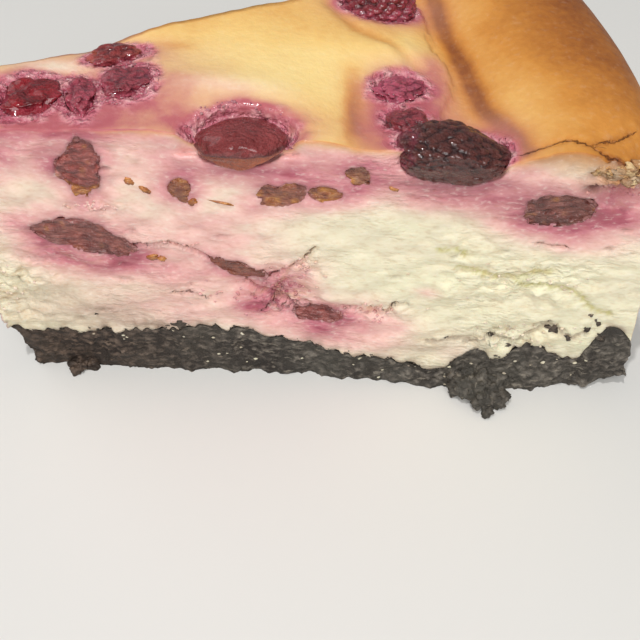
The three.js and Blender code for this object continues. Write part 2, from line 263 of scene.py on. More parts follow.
def make_piece(name, places, faces, material, masks=None, tones=None):
    """A mesh piece from corners in the cake's frame and faces, with a number for each corner for each mask,
    and a colour for each corner where tones are given."""
    mesh = bpy.data.meshes.new(name)
    mesh.from_pydata(((places - [MIDDLE_X, MIDDLE_Y, 0]) * MM).tolist(), [], faces)
    mesh.shade_smooth()
    for mask, values in (masks or {}).items():
        attribute = mesh.attributes.new(mask, "FLOAT", "POINT")
        attribute.data.foreach_set("value", np.ascontiguousarray(values, dtype=np.float32))
    if tones is not None:
        attribute = mesh.attributes.new("tone", "FLOAT_COLOR", "POINT")
        attribute.data.foreach_set("color", np.ascontiguousarray(tones, dtype=np.float32).ravel())
    mesh.materials.append(material)
    piece = bpy.data.objects.new(name, mesh)
    bpy.context.scene.collection.objects.link(piece)
    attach(piece, "root")
    return piece


def colour(red, green, blue):
    """A colour as shown on screen, from 0 to 255 each, as the linear values that a shader takes."""
    shown = np.array([red, green, blue]) / 255
    return (*(((shown + 0.055) / 1.055) ** 2.4).tolist(), 1)


def add_node(tree, kind, inputs=None, **settings):
    """Adds a node with its settings; each of its inputs gets a plain value or is joined to an output."""
    node = tree.nodes.new(kind)
    for key, value in settings.items():
        setattr(node, key, value)
    for socket, value in (inputs or {}).items():
        if isinstance(value, bpy.types.NodeSocket):
            tree.links.new(value, node.inputs[socket])
        else:
            node.inputs[socket].default_value = value
    return node


def new_material(name, **values):
    """A material with a Principled shader whose named sockets are set, and its node tree."""
    material = bpy.data.materials.new(name)
    material.use_nodes = True
    shader = material.node_tree.nodes["Principled BSDF"]
    for socket, value in values.items():
        shader.inputs[socket.replace("_", " ")].default_value = value
    return material, material.node_tree, shader


def mixed(tree, share, first, second, blend="MIX"):
    """The colour that lies between two colours, each a fixed colour or an output."""
    inputs = {0: share, 6: first, 7: second}
    return add_node(tree, "ShaderNodeMix", inputs, data_type="RGBA", blend_type=blend).outputs[2]


def worked(tree, operation, first, second=0.0, clamp=False):
    """The result of one operation on two values."""
    node = add_node(tree, "ShaderNodeMath", {0: first, 1: second}, operation=operation, use_clamp=clamp)
    return node.outputs[0]


def times(tree, first, second, clamp=False):
    """The product of two values."""
    return worked(tree, "MULTIPLY", first, second, clamp)


def plus(tree, first, second, clamp=False):
    """The sum of two values."""
    return worked(tree, "ADD", first, second, clamp)


def minus(tree, first, second, clamp=False):
    """The first value less the second."""
    return worked(tree, "SUBTRACT", first, second, clamp)


def ramp(tree, value, stops):
    """A colour for each value, blended between stops of place and colour."""
    node = add_node(tree, "ShaderNodeValToRGB", {"Fac": value})
    elements = node.color_ramp.elements
    for place, _ in stops[2:]:
        elements.new(place)
    for element, (place, shade) in zip(elements, stops):
        element.position = place
        element.color = shade
    return node.outputs["Color"]


def shift(tree, value, low, high, least=0.0, most=1.0):
    """A value that goes from least to most as the one given goes from low to high, and stays there."""
    return ramp(tree, value, [(low, (least, least, least, 1)), (high, (most, most, most, 1))])


def mask_of(tree, name):
    """The value of a mask that the mesh carries."""
    return add_node(tree, "ShaderNodeAttribute", attribute_name=name).outputs["Fac"]


def finish_shader(tree, shader, shade, height, depth):
    """Gives the shader its colour, and a relief of the given depth in metres."""
    tree.links.new(shade, shader.inputs["Base Color"])
    bump = add_node(tree, "ShaderNodeBump", {"Height": height, "Strength": 1.0, "Distance": depth})
    tree.links.new(bump.outputs["Normal"], shader.inputs["Normal"])


# Unevenness, which every material of the cake has: noise in Object coordinates, stretched along the axes,
# which puts out one value round 0.5.
uneven = bpy.data.node_groups.new("unevenness", "ShaderNodeTree")
for name, kind, value in [("Size", "Float", 0.002), ("Stretch", "Vector", (1, 1, 1)), ("Detail", "Float", 3)]:
    socket = uneven.interface.new_socket(name, in_out="INPUT", socket_type="NodeSocket" + kind)
    socket.default_value = value
uneven.interface.new_socket("Value", in_out="OUTPUT", socket_type="NodeSocketFloat")
taken = uneven.nodes.new("NodeGroupInput")
given = uneven.nodes.new("NodeGroupOutput")
place = add_node(uneven, "ShaderNodeTexCoord").outputs["Object"]
shrunk = add_node(
    uneven, "ShaderNodeVectorMath", {0: place, 1: taken.outputs["Stretch"]}, operation="DIVIDE"
).outputs[0]
scale = worked(uneven, "DIVIDE", 1.0, taken.outputs["Size"])
cloud = add_node(uneven, "ShaderNodeTexNoise", {
    "Vector": shrunk, "Scale": scale, "Detail": taken.outputs["Detail"]
})
uneven.links.new(cloud.outputs["Fac"], given.inputs["Value"])


def unevenness(tree, size, stretch=(1, 1, 1), detail=3.0):
    """Places the unevenness group with bumps about size metres apart."""
    node = add_node(tree, "ShaderNodeGroup", node_tree=uneven)
    node.inputs["Size"].default_value = size
    node.inputs["Stretch"].default_value = stretch
    node.inputs["Detail"].default_value = detail
    return node.outputs["Value"]


# The berries that lie in pockets of the filling, as egg shapes. Those on the top have centre, half sizes,
# turn, the way in which they are pressed into the cream, and the width of the moat of juice round them.
# Those that were cut have their place in the cut, half sizes, slant, and the outline of the cut: shares of
# the half sizes for every eighth of a turn from +X towards +Z.
TOP_BERRIES = {
    "berry_top_back": ((77.9, 36.4, 48.6), (6.2, 4.5, 3.6), (0, 0, 0), DOWN, 0.5),
    "berry_top_crushed": ((81.6, 15, 48.2), (4, 3.6, 2.2), (0, 8, 20), DOWN, 0.3),
    "berry_edge_dark": ((89.2, 2.4, 47.55), (8.3, 6, 3.4), (0, 4, -8), INTO_EDGE, 0.1),
    "berry_edge_side": ((83, 6.9, 48.2), (3.7, 3, 2.5), (0, 0, -35), DOWN, 0.3),
    "berry_edge_halved": ((60.4, 1.8, 49.1), (6.9, 4.4, 2.8), (0, 0, 0), INTO_EDGE, 2.4),
    "berry_tip_dark": ((40.6, 17, 52.2), (4.4, 2.4, 2.1), (0, 0, 12), DOWN, 0.1),
    "berry_tip_middle": ((43.6, 10, 52.6), (3.5, 3.6, 2.4), (0, 0, 0), DOWN, 0.1),
    "berry_tip_near": ((37.5, 7, 52.4), (2.3, 3.7, 2.2), (0, 0, 14), DOWN, 0.1),
    "berry_tip_red": ((30.3, 6.8, 52.2), (3.9, 4, 2.4), (0, 0, -20), DOWN, 0.1),
    "berry_tip_end": ((25, 3, 51.6), (1.7, 3, 2), (0, 0, 10), DOWN, 0.1),
}
FRONT_BERRIES = {
    "berry_front_upper": ((37.6, 45.4), (3.3, 4, 5), 8, (0.75, 1.1, 1.05, 0.87, 1.05, 0.9, 1.1, 0.95)),
    "berry_front_long": ((35.2, 32.1), (7.3, 4, 2.6), 15, (1.08, 0.95, 1.25, 1, 1.05, 1.1, 1.25, 1.15)),
    "berry_front_rim": ((104.8, 39.5), (5.3, 4.5, 2.8), 2, (0.9, 1.1, 1.2, 1.05, 0.97, 1.08, 0.93, 0.8)),
    "berry_front_strip": ((58.1, 25.8), (5.1, 3, 1.6), 33, (0.95, 1.15, 1.15, 0.85, 1, 1, 1, 1)),
    "berry_front_low": ((70.1, 15.8), (3.9, 3, 1.2), 5, (1, 0.85, 1.4, 1.05, 1.1, 1.2, 1.1, 1)),
    "berry_front_bit_1": ((65.9, 41.9), (3, 2.6, 2.1), -20, (1.1, 0.95, 0.6, 1.2, 1.25, 1.15, 1.15, 1.15)),
    "berry_front_bit_2": ((72.2, 42), (2.5, 2.4, 1.5), 8, (0.9, 0.8, 0.8, 0.9, 1.1, 1.05, 1.15, 0.95)),
    "berry_front_bit_3": ((76.7, 45.2), (1.7, 2.2, 1.7), 0, (0.9, 1, 1.1, 1.15, 1.1, 0.9, 1.1, 1)),
    "berry_front_bit_4": ((51, 41.9), (1.8, 2.2, 2.1), 25, (0.95, 1, 1.05, 1, 0.92, 0.6, 0.6, 1.25)),
}
REAR_BERRIES = {
    "berry_rear_upper": ((47, 42.5), (5.2, 4, 3.4), -12, (1, 0.85, 1.1, 1.15, 0.95, 1.1, 0.85, 1.05)),
    "berry_rear_long": ((66, 31), (6.6, 4, 2.7), 18, (1.1, 1, 0.9, 1.2, 1, 0.95, 1.15, 0.9)),
    "berry_rear_round": ((92, 38), (4.6, 4, 3.9), 0, (0.95, 1.05, 1.1, 0.9, 1.05, 0.95, 1, 1.1)),
    "berry_rear_low": ((57, 17.5), (4.2, 3.2, 2), -8, (1.05, 0.9, 1.2, 1, 0.9, 1.15, 1, 1.1)),
    "berry_rear_small": ((105, 27), (3.2, 2.8, 2.2), 20, (0.9, 1.1, 0.95, 1.1, 1, 0.85, 1.1, 1)),
}


def turning(degrees):
    """The matrix that turns by angles about X, then Y, then Z, as three.js's XYZ order does."""
    x, y, z = (math.radians(a) for a in degrees)
    turn_x = Matrix.Rotation(x, 3, "X")
    turn_y = Matrix.Rotation(y, 3, "Y")
    return np.array(turn_x @ turn_y @ Matrix.Rotation(z, 3, "Z"))


eggs = {}
for name, (centre, half, turn, way, gap) in TOP_BERRIES.items():
    eggs[name] = dict(centre=np.array(centre), half=half, turn=turning(turn), way=way, gap=gap, radii=None)
for name, ((along, up), half, slant, radii) in FRONT_BERRIES.items():
    centre = np.array([along, 0, up])
    turn = turning((0, slant, 0))
    eggs[name] = dict(centre=centre, half=half, turn=turn, way=INTO_FRONT, gap=0, radii=radii)
for name, ((along, up), half, slant, radii) in REAR_BERRIES.items():
    centre = ALONG_REAR * along + np.array([0, 0, up])
    turn_y = np.array(Matrix.Rotation(math.radians(slant), 3, "Y"))
    turn = np.array(Matrix.Rotation(SLICE_ANGLE, 3, "Z")) @ turn_y
    eggs[name] = dict(centre=centre, half=half, turn=turn, way=-REAR_NORMAL, gap=0, radii=radii)


def egg_outline(directions, egg):
    """How far an egg reaches in each direction of its own frame, as a share of its half sizes. A berry on
    the top is 1 with soft lumps. A cut one has its radii, blended round the cut, with ragged edges, and 1
    straight ahead."""
    offset = egg["centre"] * 0.37
    if egg["radii"] is None:
        return 1 + 0.07 * lumps(directions + offset, 0.7, 13)
    eighth = np.arctan2(directions[:, 2], directions[:, 0]) * 4 / math.pi % 8
    i = np.floor(eighth).astype(int)
    t = eighth - i
    t = t * t * (3 - 2 * t)
    radii = np.array(egg["radii"])
    radius = radii[i % 8] * (1 - t) + radii[(i + 1) % 8] * t
    ragged = 0.1 * lumps(directions + offset, 0.33, 11) + 0.07 * lumps(directions + offset, 0.15, 12)
    return 1 + (radius * (1 + ragged) - 1) * (directions[:, 0] ** 2 + directions[:, 2] ** 2)


def egg_reach(places, egg):
    """Each place in the egg's own frame, how far out it lies, and how far the egg reaches that way."""
    local = (places - egg["centre"]) @ egg["turn"] / np.array(egg["half"])
    size = np.linalg.norm(local, axis=1)
    return local, size, egg_outline(local / np.maximum(size, 1e-6)[:, None], egg)


def berry_distance(places, egg):
    """Rough distance in millimetres from each place to the egg's surface, negative inside."""
    _, size, reach = egg_reach(places, egg)
    return (size - reach) * float(np.mean(egg["half"]))


def press_pocket(places, egg):
    """Moves the places inside an egg along its way to its far side, less close to its outline, and those in
    the moat round it by most of the moat's width."""
    local, size, reach = egg_reach(places, egg)
    step = egg["way"] @ egg["turn"] / np.array(egg["half"])
    a = step @ step
    b = local @ step
    t = (-b + np.sqrt(np.maximum(b * b - a * (size ** 2 - reach ** 2), 0))) / a
    inside = (reach - size) * float(np.mean(egg["half"]))
    moat = max(egg["gap"], 0.05)
    shallow = 0.8 * egg["gap"] * rise(inside, -moat, -0.3 * moat) * rise(local[:, 2], -0.3, 0.2)
    depth = np.maximum(t * rise(inside, 0, 0.4), shallow)
    return places + depth[:, None] * egg["way"]


# The small tears of the front cut: crack paths with width and depth, seams of yellow whey, dirty tears just
# above the base, dents with half sizes and depth, and the smear that the knife left.
CRACKS = [
    ([(42.4, 30.8), (45.4, 31.2), (48.6, 31.6), (51.1, 30.5), (53.7, 28.6)], 0.3, 0.9),
    ([(74.1, 17.6), (75.8, 17.2), (77.4, 18), (79.3, 16.3), (81.3, 17.1), (82, 18.9), (83.8, 19)], 0.35, 1.4),
    ([(62.6, 23.8), (65.5, 26), (68.2, 28.2), (70, 31)], 0.4, 0.7),
    ([(102.4, 33.4), (104.2, 33), (106.2, 33.1)], 0.3, 0.6),
    ([(58.9, 22.6), (60.5, 21), (62.2, 20.4), (63.6, 18.4), (66, 17.8)], 0.35, 1.0),
    ([(61, 16.4), (62.8, 17.6), (64.6, 16.6), (66.2, 17)], 0.3, 0.8),
    ([(47.3, 20.2), (50, 20.6), (52, 19.6)], 0.25, 0.5),
]
WHEY_SEAMS = [
    [(91.5, 28), (94.2, 27.3), (97, 26.3), (99.8, 26.3), (101.5, 24.6), (104, 24.8), (108.2, 24.1)],
    [(100, 26.2), (102.5, 27.6), (105, 27.2)],
    [(108.2, 24.1), (110.3, 22.6), (112.5, 19.4), (115.5, 18.6)],
    [(88.5, 31.5), (91, 31.8), (92.5, 30.6)],
]
SEAM_TEARS = [
    [(88, 10.3), (91, 11.2), (95, 10.6), (98, 12.2), (101.5, 11), (104, 13.2), (106, 15), (108.5, 14.2),
     (110.5, 12)],
    [(104.6, 15.2), (106.3, 16), (108.4, 13.6), (110.5, 12.4), (113, 14.5)],
]
DENTS = [
    ((41.1, 45.6), (0.9, 0.4), 0.9), ((42.8, 33.6), (0.6, 0.4), 0.6), ((40, 26.4), (0.5, 0.4), 0.8),
    ((39.8, 23), (1.3, 0.35), 0.6), ((35.1, 15.8), (1.6, 0.4), 0.6), ((30.6, 13), (0.8, 0.5), 0.8),
    ((90.6, 30.1), (0.5, 0.3), 0.5), ((82.2, 25.3), (1.2, 0.35), 0.5), ((112.7, 32.5), (0.7, 0.4), 0.7),
    ((114.5, 36.4), (0.7, 0.3), 0.7), ((109, 44.3), (1.9, 0.8), 1.3), ((92.5, 16), (1, 0.35), 0.5),
    ((98, 31.5), (1.1, 0.4), 0.5), ((56, 33), (1.2, 0.3), 0.4), ((88, 36), (1, 0.35), 0.4),
]
SMEAR = [(40, 12.6), (45.6, 14.7), (50, 16.2), (56.6, 18.3)]


def cut_texture(along, z, torn, seed):
    """Fine depth of a cut: level streaks that the knife dragged, flecks that it lifted, pits, and crumbled
    curds where it tore."""
    places = np.stack([along, np.zeros_like(along), z], 1)
    streaks = 0.14 * lumps(places, (9, 1, 1.9), seed) + 0.08 * lumps(places, (3.2, 1, 1), seed + 1)
    patch = rise(lumps(places, (11, 1, 6), seed + 6), -0.5, 0.5)
    fleck_distance, draw = grains(places, (2.6, 2.6, 1.15), seed + 3)
    flecks = patch * 0.4 * (draw - 0.35) * (1 - rise(fleck_distance, 0.1, 0.5))
    curd_distance, height = grains(places, (1.5, 1.5, 1.1), seed + 4)
    curds = (0.7 - 1.6 * height) * (1 - rise(curd_distance, 0.2, 0.65))
    curds = curds + 0.7 * lumps(places, (1.7, 1, 1.1), seed + 5)
    folds = 0.45 - 1.5 * np.abs(lumps(places, (3.6, 1, 2.1), seed + 7))
    return streaks - flecks + torn * (curds + 0.9 * folds)


def towards_rim(u):
    """Spreads the cells evenly, but closer together at the rim, where the corner is round."""
    return u - 0.09 * np.sin(2 * math.pi * u) * u


def filling_corners(u, v, w):
    """The filling's surface: each corner of the block at its distance from the axis, angle and height,
    between the seam below and the top above, moved in from the two cuts by their relief."""
    angle = v * SLICE_ANGLE
    tip = TIP_RADIUS + 0.8 * waver(v * 9, w * 45, 13, 0.2) - 1.6 * w * (1 - w)
    wall = TIN_RADIUS - 0.25 * (1 + waver(v * 55, w * 40, 24, 1.9))
    r = tip + (wall - tip) * towards_rim(u)
    x, y = r * np.cos(angle), r * np.sin(angle)
    low, high = seam_height(x, y), top_height(x, y)
    z = low + (high - low) * w
    front = front_relief(x, z) * (1 - v) ** 3
    rear = rear_relief(r, z) * v ** 3
    return np.stack([x, y, z], 1) + np.outer(front, INTO_FRONT) - np.outer(rear, REAR_NORMAL), r, high, low


share_u, share_v, share_w, filling_faces = block_skin(*FILLING_CELLS)
share_v = share_v * (0.36 + 0.64 * share_v)
corners, radius, top_z, seam_z = filling_corners(share_u, share_v, share_w)
on_top, on_front, on_rear = share_w == 1, share_v == 0, share_v == 1
on_tip, on_wall = share_u == 0, share_u == 1
near_front = fade(radius * np.sin(share_v * SLICE_ANGLE), 0.7)
near_rear = fade(radius * np.sin((1 - share_v) * SLICE_ANGLE), 0.9)
x, y, z = corners.T

# Where the cream tore into curds instead of being cut
TORN_FRONT = [
    ((64.5, 20.5), (4.8, 5), 1), ((20, 20), (9, 9), 0.95), ((79, 16.5), (6, 2), 0.75),
    ((100, 25), (12, 6), 0.6), ((39, 38.3), (4, 1.2), 0.7), ((113, 44.5), (4, 3), 1),
    ((100, 12), (11, 3), 0.7), ((31, 27.5), (7, 2), 0.4), ((68.5, 27), (3, 3), 0.6),
    ((50, 21), (5, 3), 0.3), ((93, 34), (7, 4), 0.3),
]
TORN_REAR = [((82, 21), (6, 5), 1), ((25, 25), (8, 12), 0.6)]
torn_front = overlaid(hills(x, z, TORN_FRONT))
torn_rear = overlaid(hills(radius, z, TORN_REAR))
torn = np.clip(torn_front * near_front + torn_rear * near_rear + 0.9 * on_tip, 0, 1)
front_depth = cut_texture(x, z, torn, 21)
crevice_shade = np.zeros_like(x)
shaken_x, shaken_z = x + 0.35 * waver(x, z, 2.3, 0.5), z + 0.3 * waver(x, z, 1.9, 2.5)
for path, width, depth in CRACKS:
    away = line_distance(shaken_x, shaken_z, path)
    crack = fade(away, width)
    front_depth = front_depth + depth * crack - 0.25 * fade(away - 2.2 * width, width)
# Each dent is pushed in and darkened with painted shade, and so is the cavity under the crust corner.
for centre, half, depth in DENTS:
    dent = hill(x, z, centre, half)
    front_depth = front_depth + depth * dent - 0.2 * hill(x, z, (centre[0], centre[1] - 2 * half[1]), half)
    crevice_shade = np.maximum(crevice_shade, min(1, 0.45 * depth) * dent)
crevice_shade = np.maximum(crevice_shade, hill(x, z, (109, 44.1), (1.9, 0.9)))
whey = near_paths(x + 0.5 * waver(x, z, 2.7, 0.9), z + 0.4 * waver(x, z, 2.1, 1.5), WHEY_SEAMS, 0.45)
dirty = near_paths(x + 0.5 * waver(x, z, 2.3, 1.9), z + 0.4 * waver(x, z, 1.9, 0.5), SEAM_TEARS, 0.4)
front_lines, front_line_near = crack_lines(shaken_x, shaken_z, [path for path, _, _ in CRACKS])
front_depth = front_depth + 0.35 * whey + 0.7 * dirty - 0.3 * near_paths(x, z, [SMEAR], 0.5)
corners += np.outer(front_depth * near_front, INTO_FRONT)
corners -= np.outer(cut_texture(radius, z, torn, 51) * near_rear, REAR_NORMAL)
tip_out = np.stack([np.cos(share_v * SLICE_ANGLE), np.sin(share_v * SLICE_ANGLE), np.zeros_like(x)], 1)
tip_depth = fade(radius - TIP_RADIUS, 1.2) * cut_texture(y * 1.3, z, np.ones_like(x), 71)
corners += tip_out * (0.45 * tip_depth)[:, None]

# The top's fine relief: leathery skin, cracks in the rim, and crumbled crust where the rim's front corner
# broke
near_top = fade(top_z - z, 0.8)
crumbled = rise(hill(x, y, (114.5, -0.6), (6, 2.2)), 0.25, 0.7)
rim_lines, rim_line_near = crack_lines(
    x + 0.3 * waver(x, y, 1.9, 0.4), y + 0.3 * waver(x, y, 1.6, 1.4), RIM_CRACKS
)
rim_cracks = fade(rim_lines, 0.5)
crack_side = np.where(on_top, rim_lines, front_lines)
crack_near = np.where(on_top, rim_line_near, front_line_near * near_front)
skin_relief = 0.06 * lumps(corners, 2.4, 81) + 0.03 * lumps(corners, 0.9, 82) - 0.25 * rim_cracks
skin_relief = skin_relief + crumbled * (1.1 * lumps(corners, 1.5, 83) + 0.8 * lumps(corners, 0.75, 84) - 0.4)
corners[:, 2] += skin_relief * near_top
crust_relief = 1.6 * lumps(corners, 1.4, 85) + 0.9 * lumps(corners, 0.7, 86)
corners[:, 1] += hill(x, z, CRUST_CORNER, (6, 2)) * crust_relief * near_front

# The berries' pockets, each with a swollen wet lip if it is on the top, and the juice that ran from them
MUSH_WIDTH = {
    "berry_edge_halved": 2.6, "berry_edge_dark": 0.8, "berry_top_back": 0.9, "berry_top_crushed": 1.3,
    "berry_edge_side": 1.2, "berry_tip_dark": 1.2,
}
MASHED_SPOTS = [
    ((34, 7), (2.6, 4), 1), ((40.2, 8), (2.2, 4), 1), ((41.5, 13.8), (4, 1.6), 0.9),
    ((27.3, 5), (2, 4), 0.8), ((84.3, 6), (2.6, 3), 0.8), ((82, 11), (2.6, 2), 0.6),
]
halo, rim_halo, wet, plum = [], [], np.zeros_like(x), np.zeros_like(x)
mush = np.maximum(0.9 * hill(x, y, (31, 6.8), (13, 5)), 0.85 * hill(x, y, (84, 6), (3.2, 3.4)))
for name, egg in eggs.items():
    distance = np.maximum(berry_distance(corners, egg), 0)
    away = np.maximum(distance - egg["gap"], 0)
    if name in TOP_BERRIES:
        mush = np.maximum(mush, fade(distance, MUSH_WIDTH.get(name, 2)))
        lip = fade(away - 0.4, 0.55) * (0.45 + 0.75 * lumps(corners, 1.1, 91))
        corners[:, 2] += 0.3 * lip * near_top
        wet = np.maximum(wet, fade(away, 1.6))
        rim_halo.append(0.8 * fade(away, 1.1))
        halo.append(0.3 * fade(away, 3.4))
    else:
        halo.append(0.5 * fade(away, 2.6))
        plum = np.maximum(plum, (0.25 if "bit" in name else 0.55) * fade(away, 0.6))
        wet = np.maximum(wet, 0.6 * fade(away, 1))
    corners = press_pocket(corners, egg)
mush = rise(mush + 0.3 * lumps(corners, 1.6, 92) + 0.12 * lumps(corners, 0.8, 93), 0.25, 0.9) * on_top
corners[:, 2] += mush * (0.25 * lumps(corners, 1.3, 94) + 0.12 * lumps(corners, 0.7, 95))
wet = np.maximum(wet, mush)
mashed = mush * overlaid(hills(x, y, MASHED_SPOTS))

# Masks: how pink the juice left the cream, and how brown the oven left the skin, with painted light and shade
# laid into the brown.
FACE_STAINS = [
    ((38, 46), (9, 5.5), 0.36), ((69, 45.5), (11, 5), 0.42), ((87, 44.5), (10, 3.6), 0.45),
    ((42, 33), (15, 5), 0.22), ((50, 30), (17, 14), 0.24), ((30, 30.5), (6, 5), 0.35),
    ((38, 26.3), (7, 2.6), 0.8), ((50, 25), (6, 4), 0.25), ((60.5, 19), (5, 5.5), 0.8),
    ((70, 13), (6.5, 4.5), 0.7), ((77, 13.5), (5.5, 5.5), 0.5), ((66, 24), (5, 4), 0.4),
    ((65, 19.5), (4, 4), 0.6), ((83, 11), (4, 5), 0.25), ((96, 41.5), (9, 4), 0.4),
    ((90, 42.5), (8, 3), 0.35), ((30, 48.5), (8, 3.5), 0.6), ((104.5, 39.5), (7.5, 5), 0.68),
    ((113, 39.5), (7, 5.5), 0.75), ((86.9, 22), (2, 1.2), 0.3), ((25, 33), (9, 8), 0.1),
    ((92, 8), (5, 4), 0.15), ((18, 47), (9, 6), 0.85), ((35, 27.5), (9, 3.5), 0.55),
    ((38, 15), (18, 5), 0.2), ((52, 18), (10, 5), 0.22), ((106, 35.5), (6, 3), 0.52),
    ((29, 30), (4, 8), 0.2), ((55.5, 35), (7, 4), 0.18), ((34, 51.6), (16, 1.4), 0.7),
    ((60, 47.4), (8.5, 2.2), 0.5),
]
# Pink juice stains on the top; the spot at (36, 0.8) also paints the shade of the lip at the front edge under
# the tip's berries.
TOP_STAINS_AND_SHADE = [
    ((31, 6), (14, 9), 0.9), ((46, 6), (9, 6), 0.7), ((36, 0.8), (11, 3), 0.95), ((45.5, 5), (5, 4), 0.5),
    ((52, 12), (8, 8), 0.2), ((60, 2.5), (9, 4), 0.5), ((79, 7), (4, 8), 0.4), ((84, 15), (5.5, 4.5), 0.75),
    ((80, 35), (8, 5), 0.15), ((87, 8), (6, 5), 0.45), ((95.5, 5), (3, 4), 0.4), ((50, 1), (9, 3), 0.3),
    ((86, 20), (3.2, 4), 0.6), ((33, 19), (5, 3), 0.3),
]
REAR_STAINS = [
    ((55, 38), (26, 9), 0.45), ((82, 21), (7, 6), 0.5), ((60, 24), (22, 9), 0.25), ((96, 40), (10, 6), 0.4),
]
# Plum on the front cut: juice stains, and painted shade just under the dark and halved berries at the top
# edge.
PLUM_STAINS_AND_SHADE = [
    ((104.8, 42), (6.5, 2.4), 0.5), ((89, 43.5), (8, 1.8), 0.3), ((88.5, 44.4), (7.5, 0.9), 0.55),
    ((60.4, 46), (6, 0.7), 0.4), ((111.5, 41.5), (5, 2.5), 0.08), ((35, 47), (4, 4), 0.3),
]
# Spots where the skin is browner or paler. The paler one at (98.8, 10.5) is partly painted light on the lit
# flank of the rim, the paler one at (56, 10) is a painted highlight, and the browner one at (96, 6) is
# painted shade at the valley's end.
BROWNING_AND_LIGHT_SPOTS = [
    ((98.8, 10.5), (4, 6), -0.16), ((80, 29), (5, 6), 0.12), ((113, 5), (6, 5), -0.08),
    ((107, 7), (6, 3), -0.03), ((85.5, 27), (4, 4), -0.16), ((56, 10), (6, 3), -0.06),
    ((96, 6), (3, 4), 0.14), ((48.5, 19.5), (3, 1.2), 0.3),
]
BARE_SPOTS = [((32.5, 13.8), (6, 2.2), 0.9), ((21, 7), (4, 5), 0.6), ((57, 9.6), (7, 1.7), 0.5)]
# Darker patches on the cuts: the wide one at (32, 15.5) is painted shade low on the left of the front cut,
# the others are smudges of crumb.
SMUDGES_AND_SHADE = [
    ((42, 12.6), (7, 1.4), 0.5), ((32, 15.5), (15, 4.5), 0.52), ((86, 8.4), (6, 1.5), 0.5),
    ((34, 30), (20, 16), 0.06), ((97, 40), (14, 4), 0.18),
]
# The path of a dip in the top, whose painted shade darkens the skin.
SHADED_DIP = [(75, 17), (75.2, 9), (76.5, 4)]
blotch = 1 + 0.3 * lumps(corners, (6, 6, 3.5), 61) + 0.14 * lumps(corners, (2.5, 2.5, 1.2), 62)
face_pink = overlaid(hills(x, z, FACE_STAINS) + halo)
rear_pink = overlaid(hills(radius, z, REAR_STAINS) + halo)
top_pink = overlaid(hills(x, y, TOP_STAINS_AND_SHADE) + halo + rim_halo)
pink = face_pink * on_front + rear_pink * on_rear + top_pink * on_top + 0.35 * on_tip + 0.1 * on_wall
depth_below = np.maximum(top_z - z, 0)
top_edge = fade(depth_below, 0.8) * on_front
pink = np.clip(pink * blotch * (1 - 0.6 * top_edge * rise(x, 46, 56)), 0, 1)
plum = np.maximum(plum, on_front * overlaid(hills(x, z, PLUM_STAINS_AND_SHADE)))

golden = 0.1 + 0.36 * rise(y, 14, 33) * rise(90 - x, 0, 20) + 0.07 * lumps(corners, 7, 64)
# The paler hill at (58, 8) is a painted highlight on a pale streak across the top.
golden = golden + 0.14 * hill(x, y, (72, 3), (6, 5)) - 0.12 * hill(x, y, (58, 8), (9, 3.5))
rim_brown = 0.6 + 0.26 * rise(radius, 97, 114) + 0.04 * lumps(corners, 9, 66)
golden = np.maximum(golden, rise(radius, 84, 92) * rim_brown)
golden = golden + 0.12 * rise(y, 14, 30) * rise(x, 90, 98) + sum(hills(x, y, BROWNING_AND_LIGHT_SPOTS))
# Darker skin along the valley between rim and middle, partly browner skin and partly painted shade in its
# crease, and painted shade in the rim's cracks.
golden = golden + 0.46 * near_paths(x, y, [VALLEY], 1.6) + 0.12 * rim_cracks
# Painted shade along the fold's crease and in the dip.
golden = golden + 0.2 * near_paths(x, y, [FOLD], 0.9) + 0.3 * near_paths(x, y, [SHADED_DIP], 1.5)
# More painted shade in the dip, with a wavering edge on its left.
dip_shade_edge = 74.6 + 0.7 * waver(x, y, 6, 1.2)
dip_shade = rise(x - dip_shade_edge, -1.4, 1) * (1 - rise(x, 78, 85)) * (1 - rise(y, 11, 17))
golden = golden + 0.42 * dip_shade
curled = np.maximum(hill(x, 0, (44, 0), (8, 1)), 0.9 * hill(x, 0, (73, 0), (6, 1)))
edge_depth = 0.55 + 0.25 * waver(x, y + z, 5, 0.3) + 2.6 * rise(x, 95, 106) + 0.6 * curled
edge_band = fade(depth_below, edge_depth) * (on_front | on_rear)
wall_skin = (0.3 + 0.7 * fade(depth_below, 15)) * on_wall
pink = pink * (1 - 0.75 * on_top * hill(x, y, *BARE_SPOTS[0][:2]))
bare = overlaid(hills(x, y, BARE_SPOTS))
skin = np.clip(on_top * (1 - bare) + wall_skin + 0.85 * edge_band, 0, 1)
golden = np.where(on_front | on_rear, 0.56 + 0.3 * rise(radius, 90, 104) + 0.22 * curled, golden)
wall_brown = 0.55 + 0.33 * fade(depth_below, 9) + 0.1 * lumps(corners, 4, 65)
golden = np.where(on_wall, wall_brown, golden)
crust = np.clip(crumbled * near_top + hill(x, z, CRUST_CORNER, (5.5, 1.9)) * near_front, 0, 1)
skin = np.maximum(skin, 0.9 * crust)
golden = np.clip(golden + crust * (0.1 + 0.35 * lumps(corners, 1.4, 67)), 0, 1)
smudge_and_shade = fade(np.maximum(z - seam_z, 0), 1.3) * (0.45 + 0.55 * lumps(corners, (2, 2, 1.2), 68))
smudge_and_shade = np.clip(smudge_and_shade + 0.75 * dirty + sum(hills(x, z, SMUDGES_AND_SHADE)), 0, 1) * (1 - on_top)

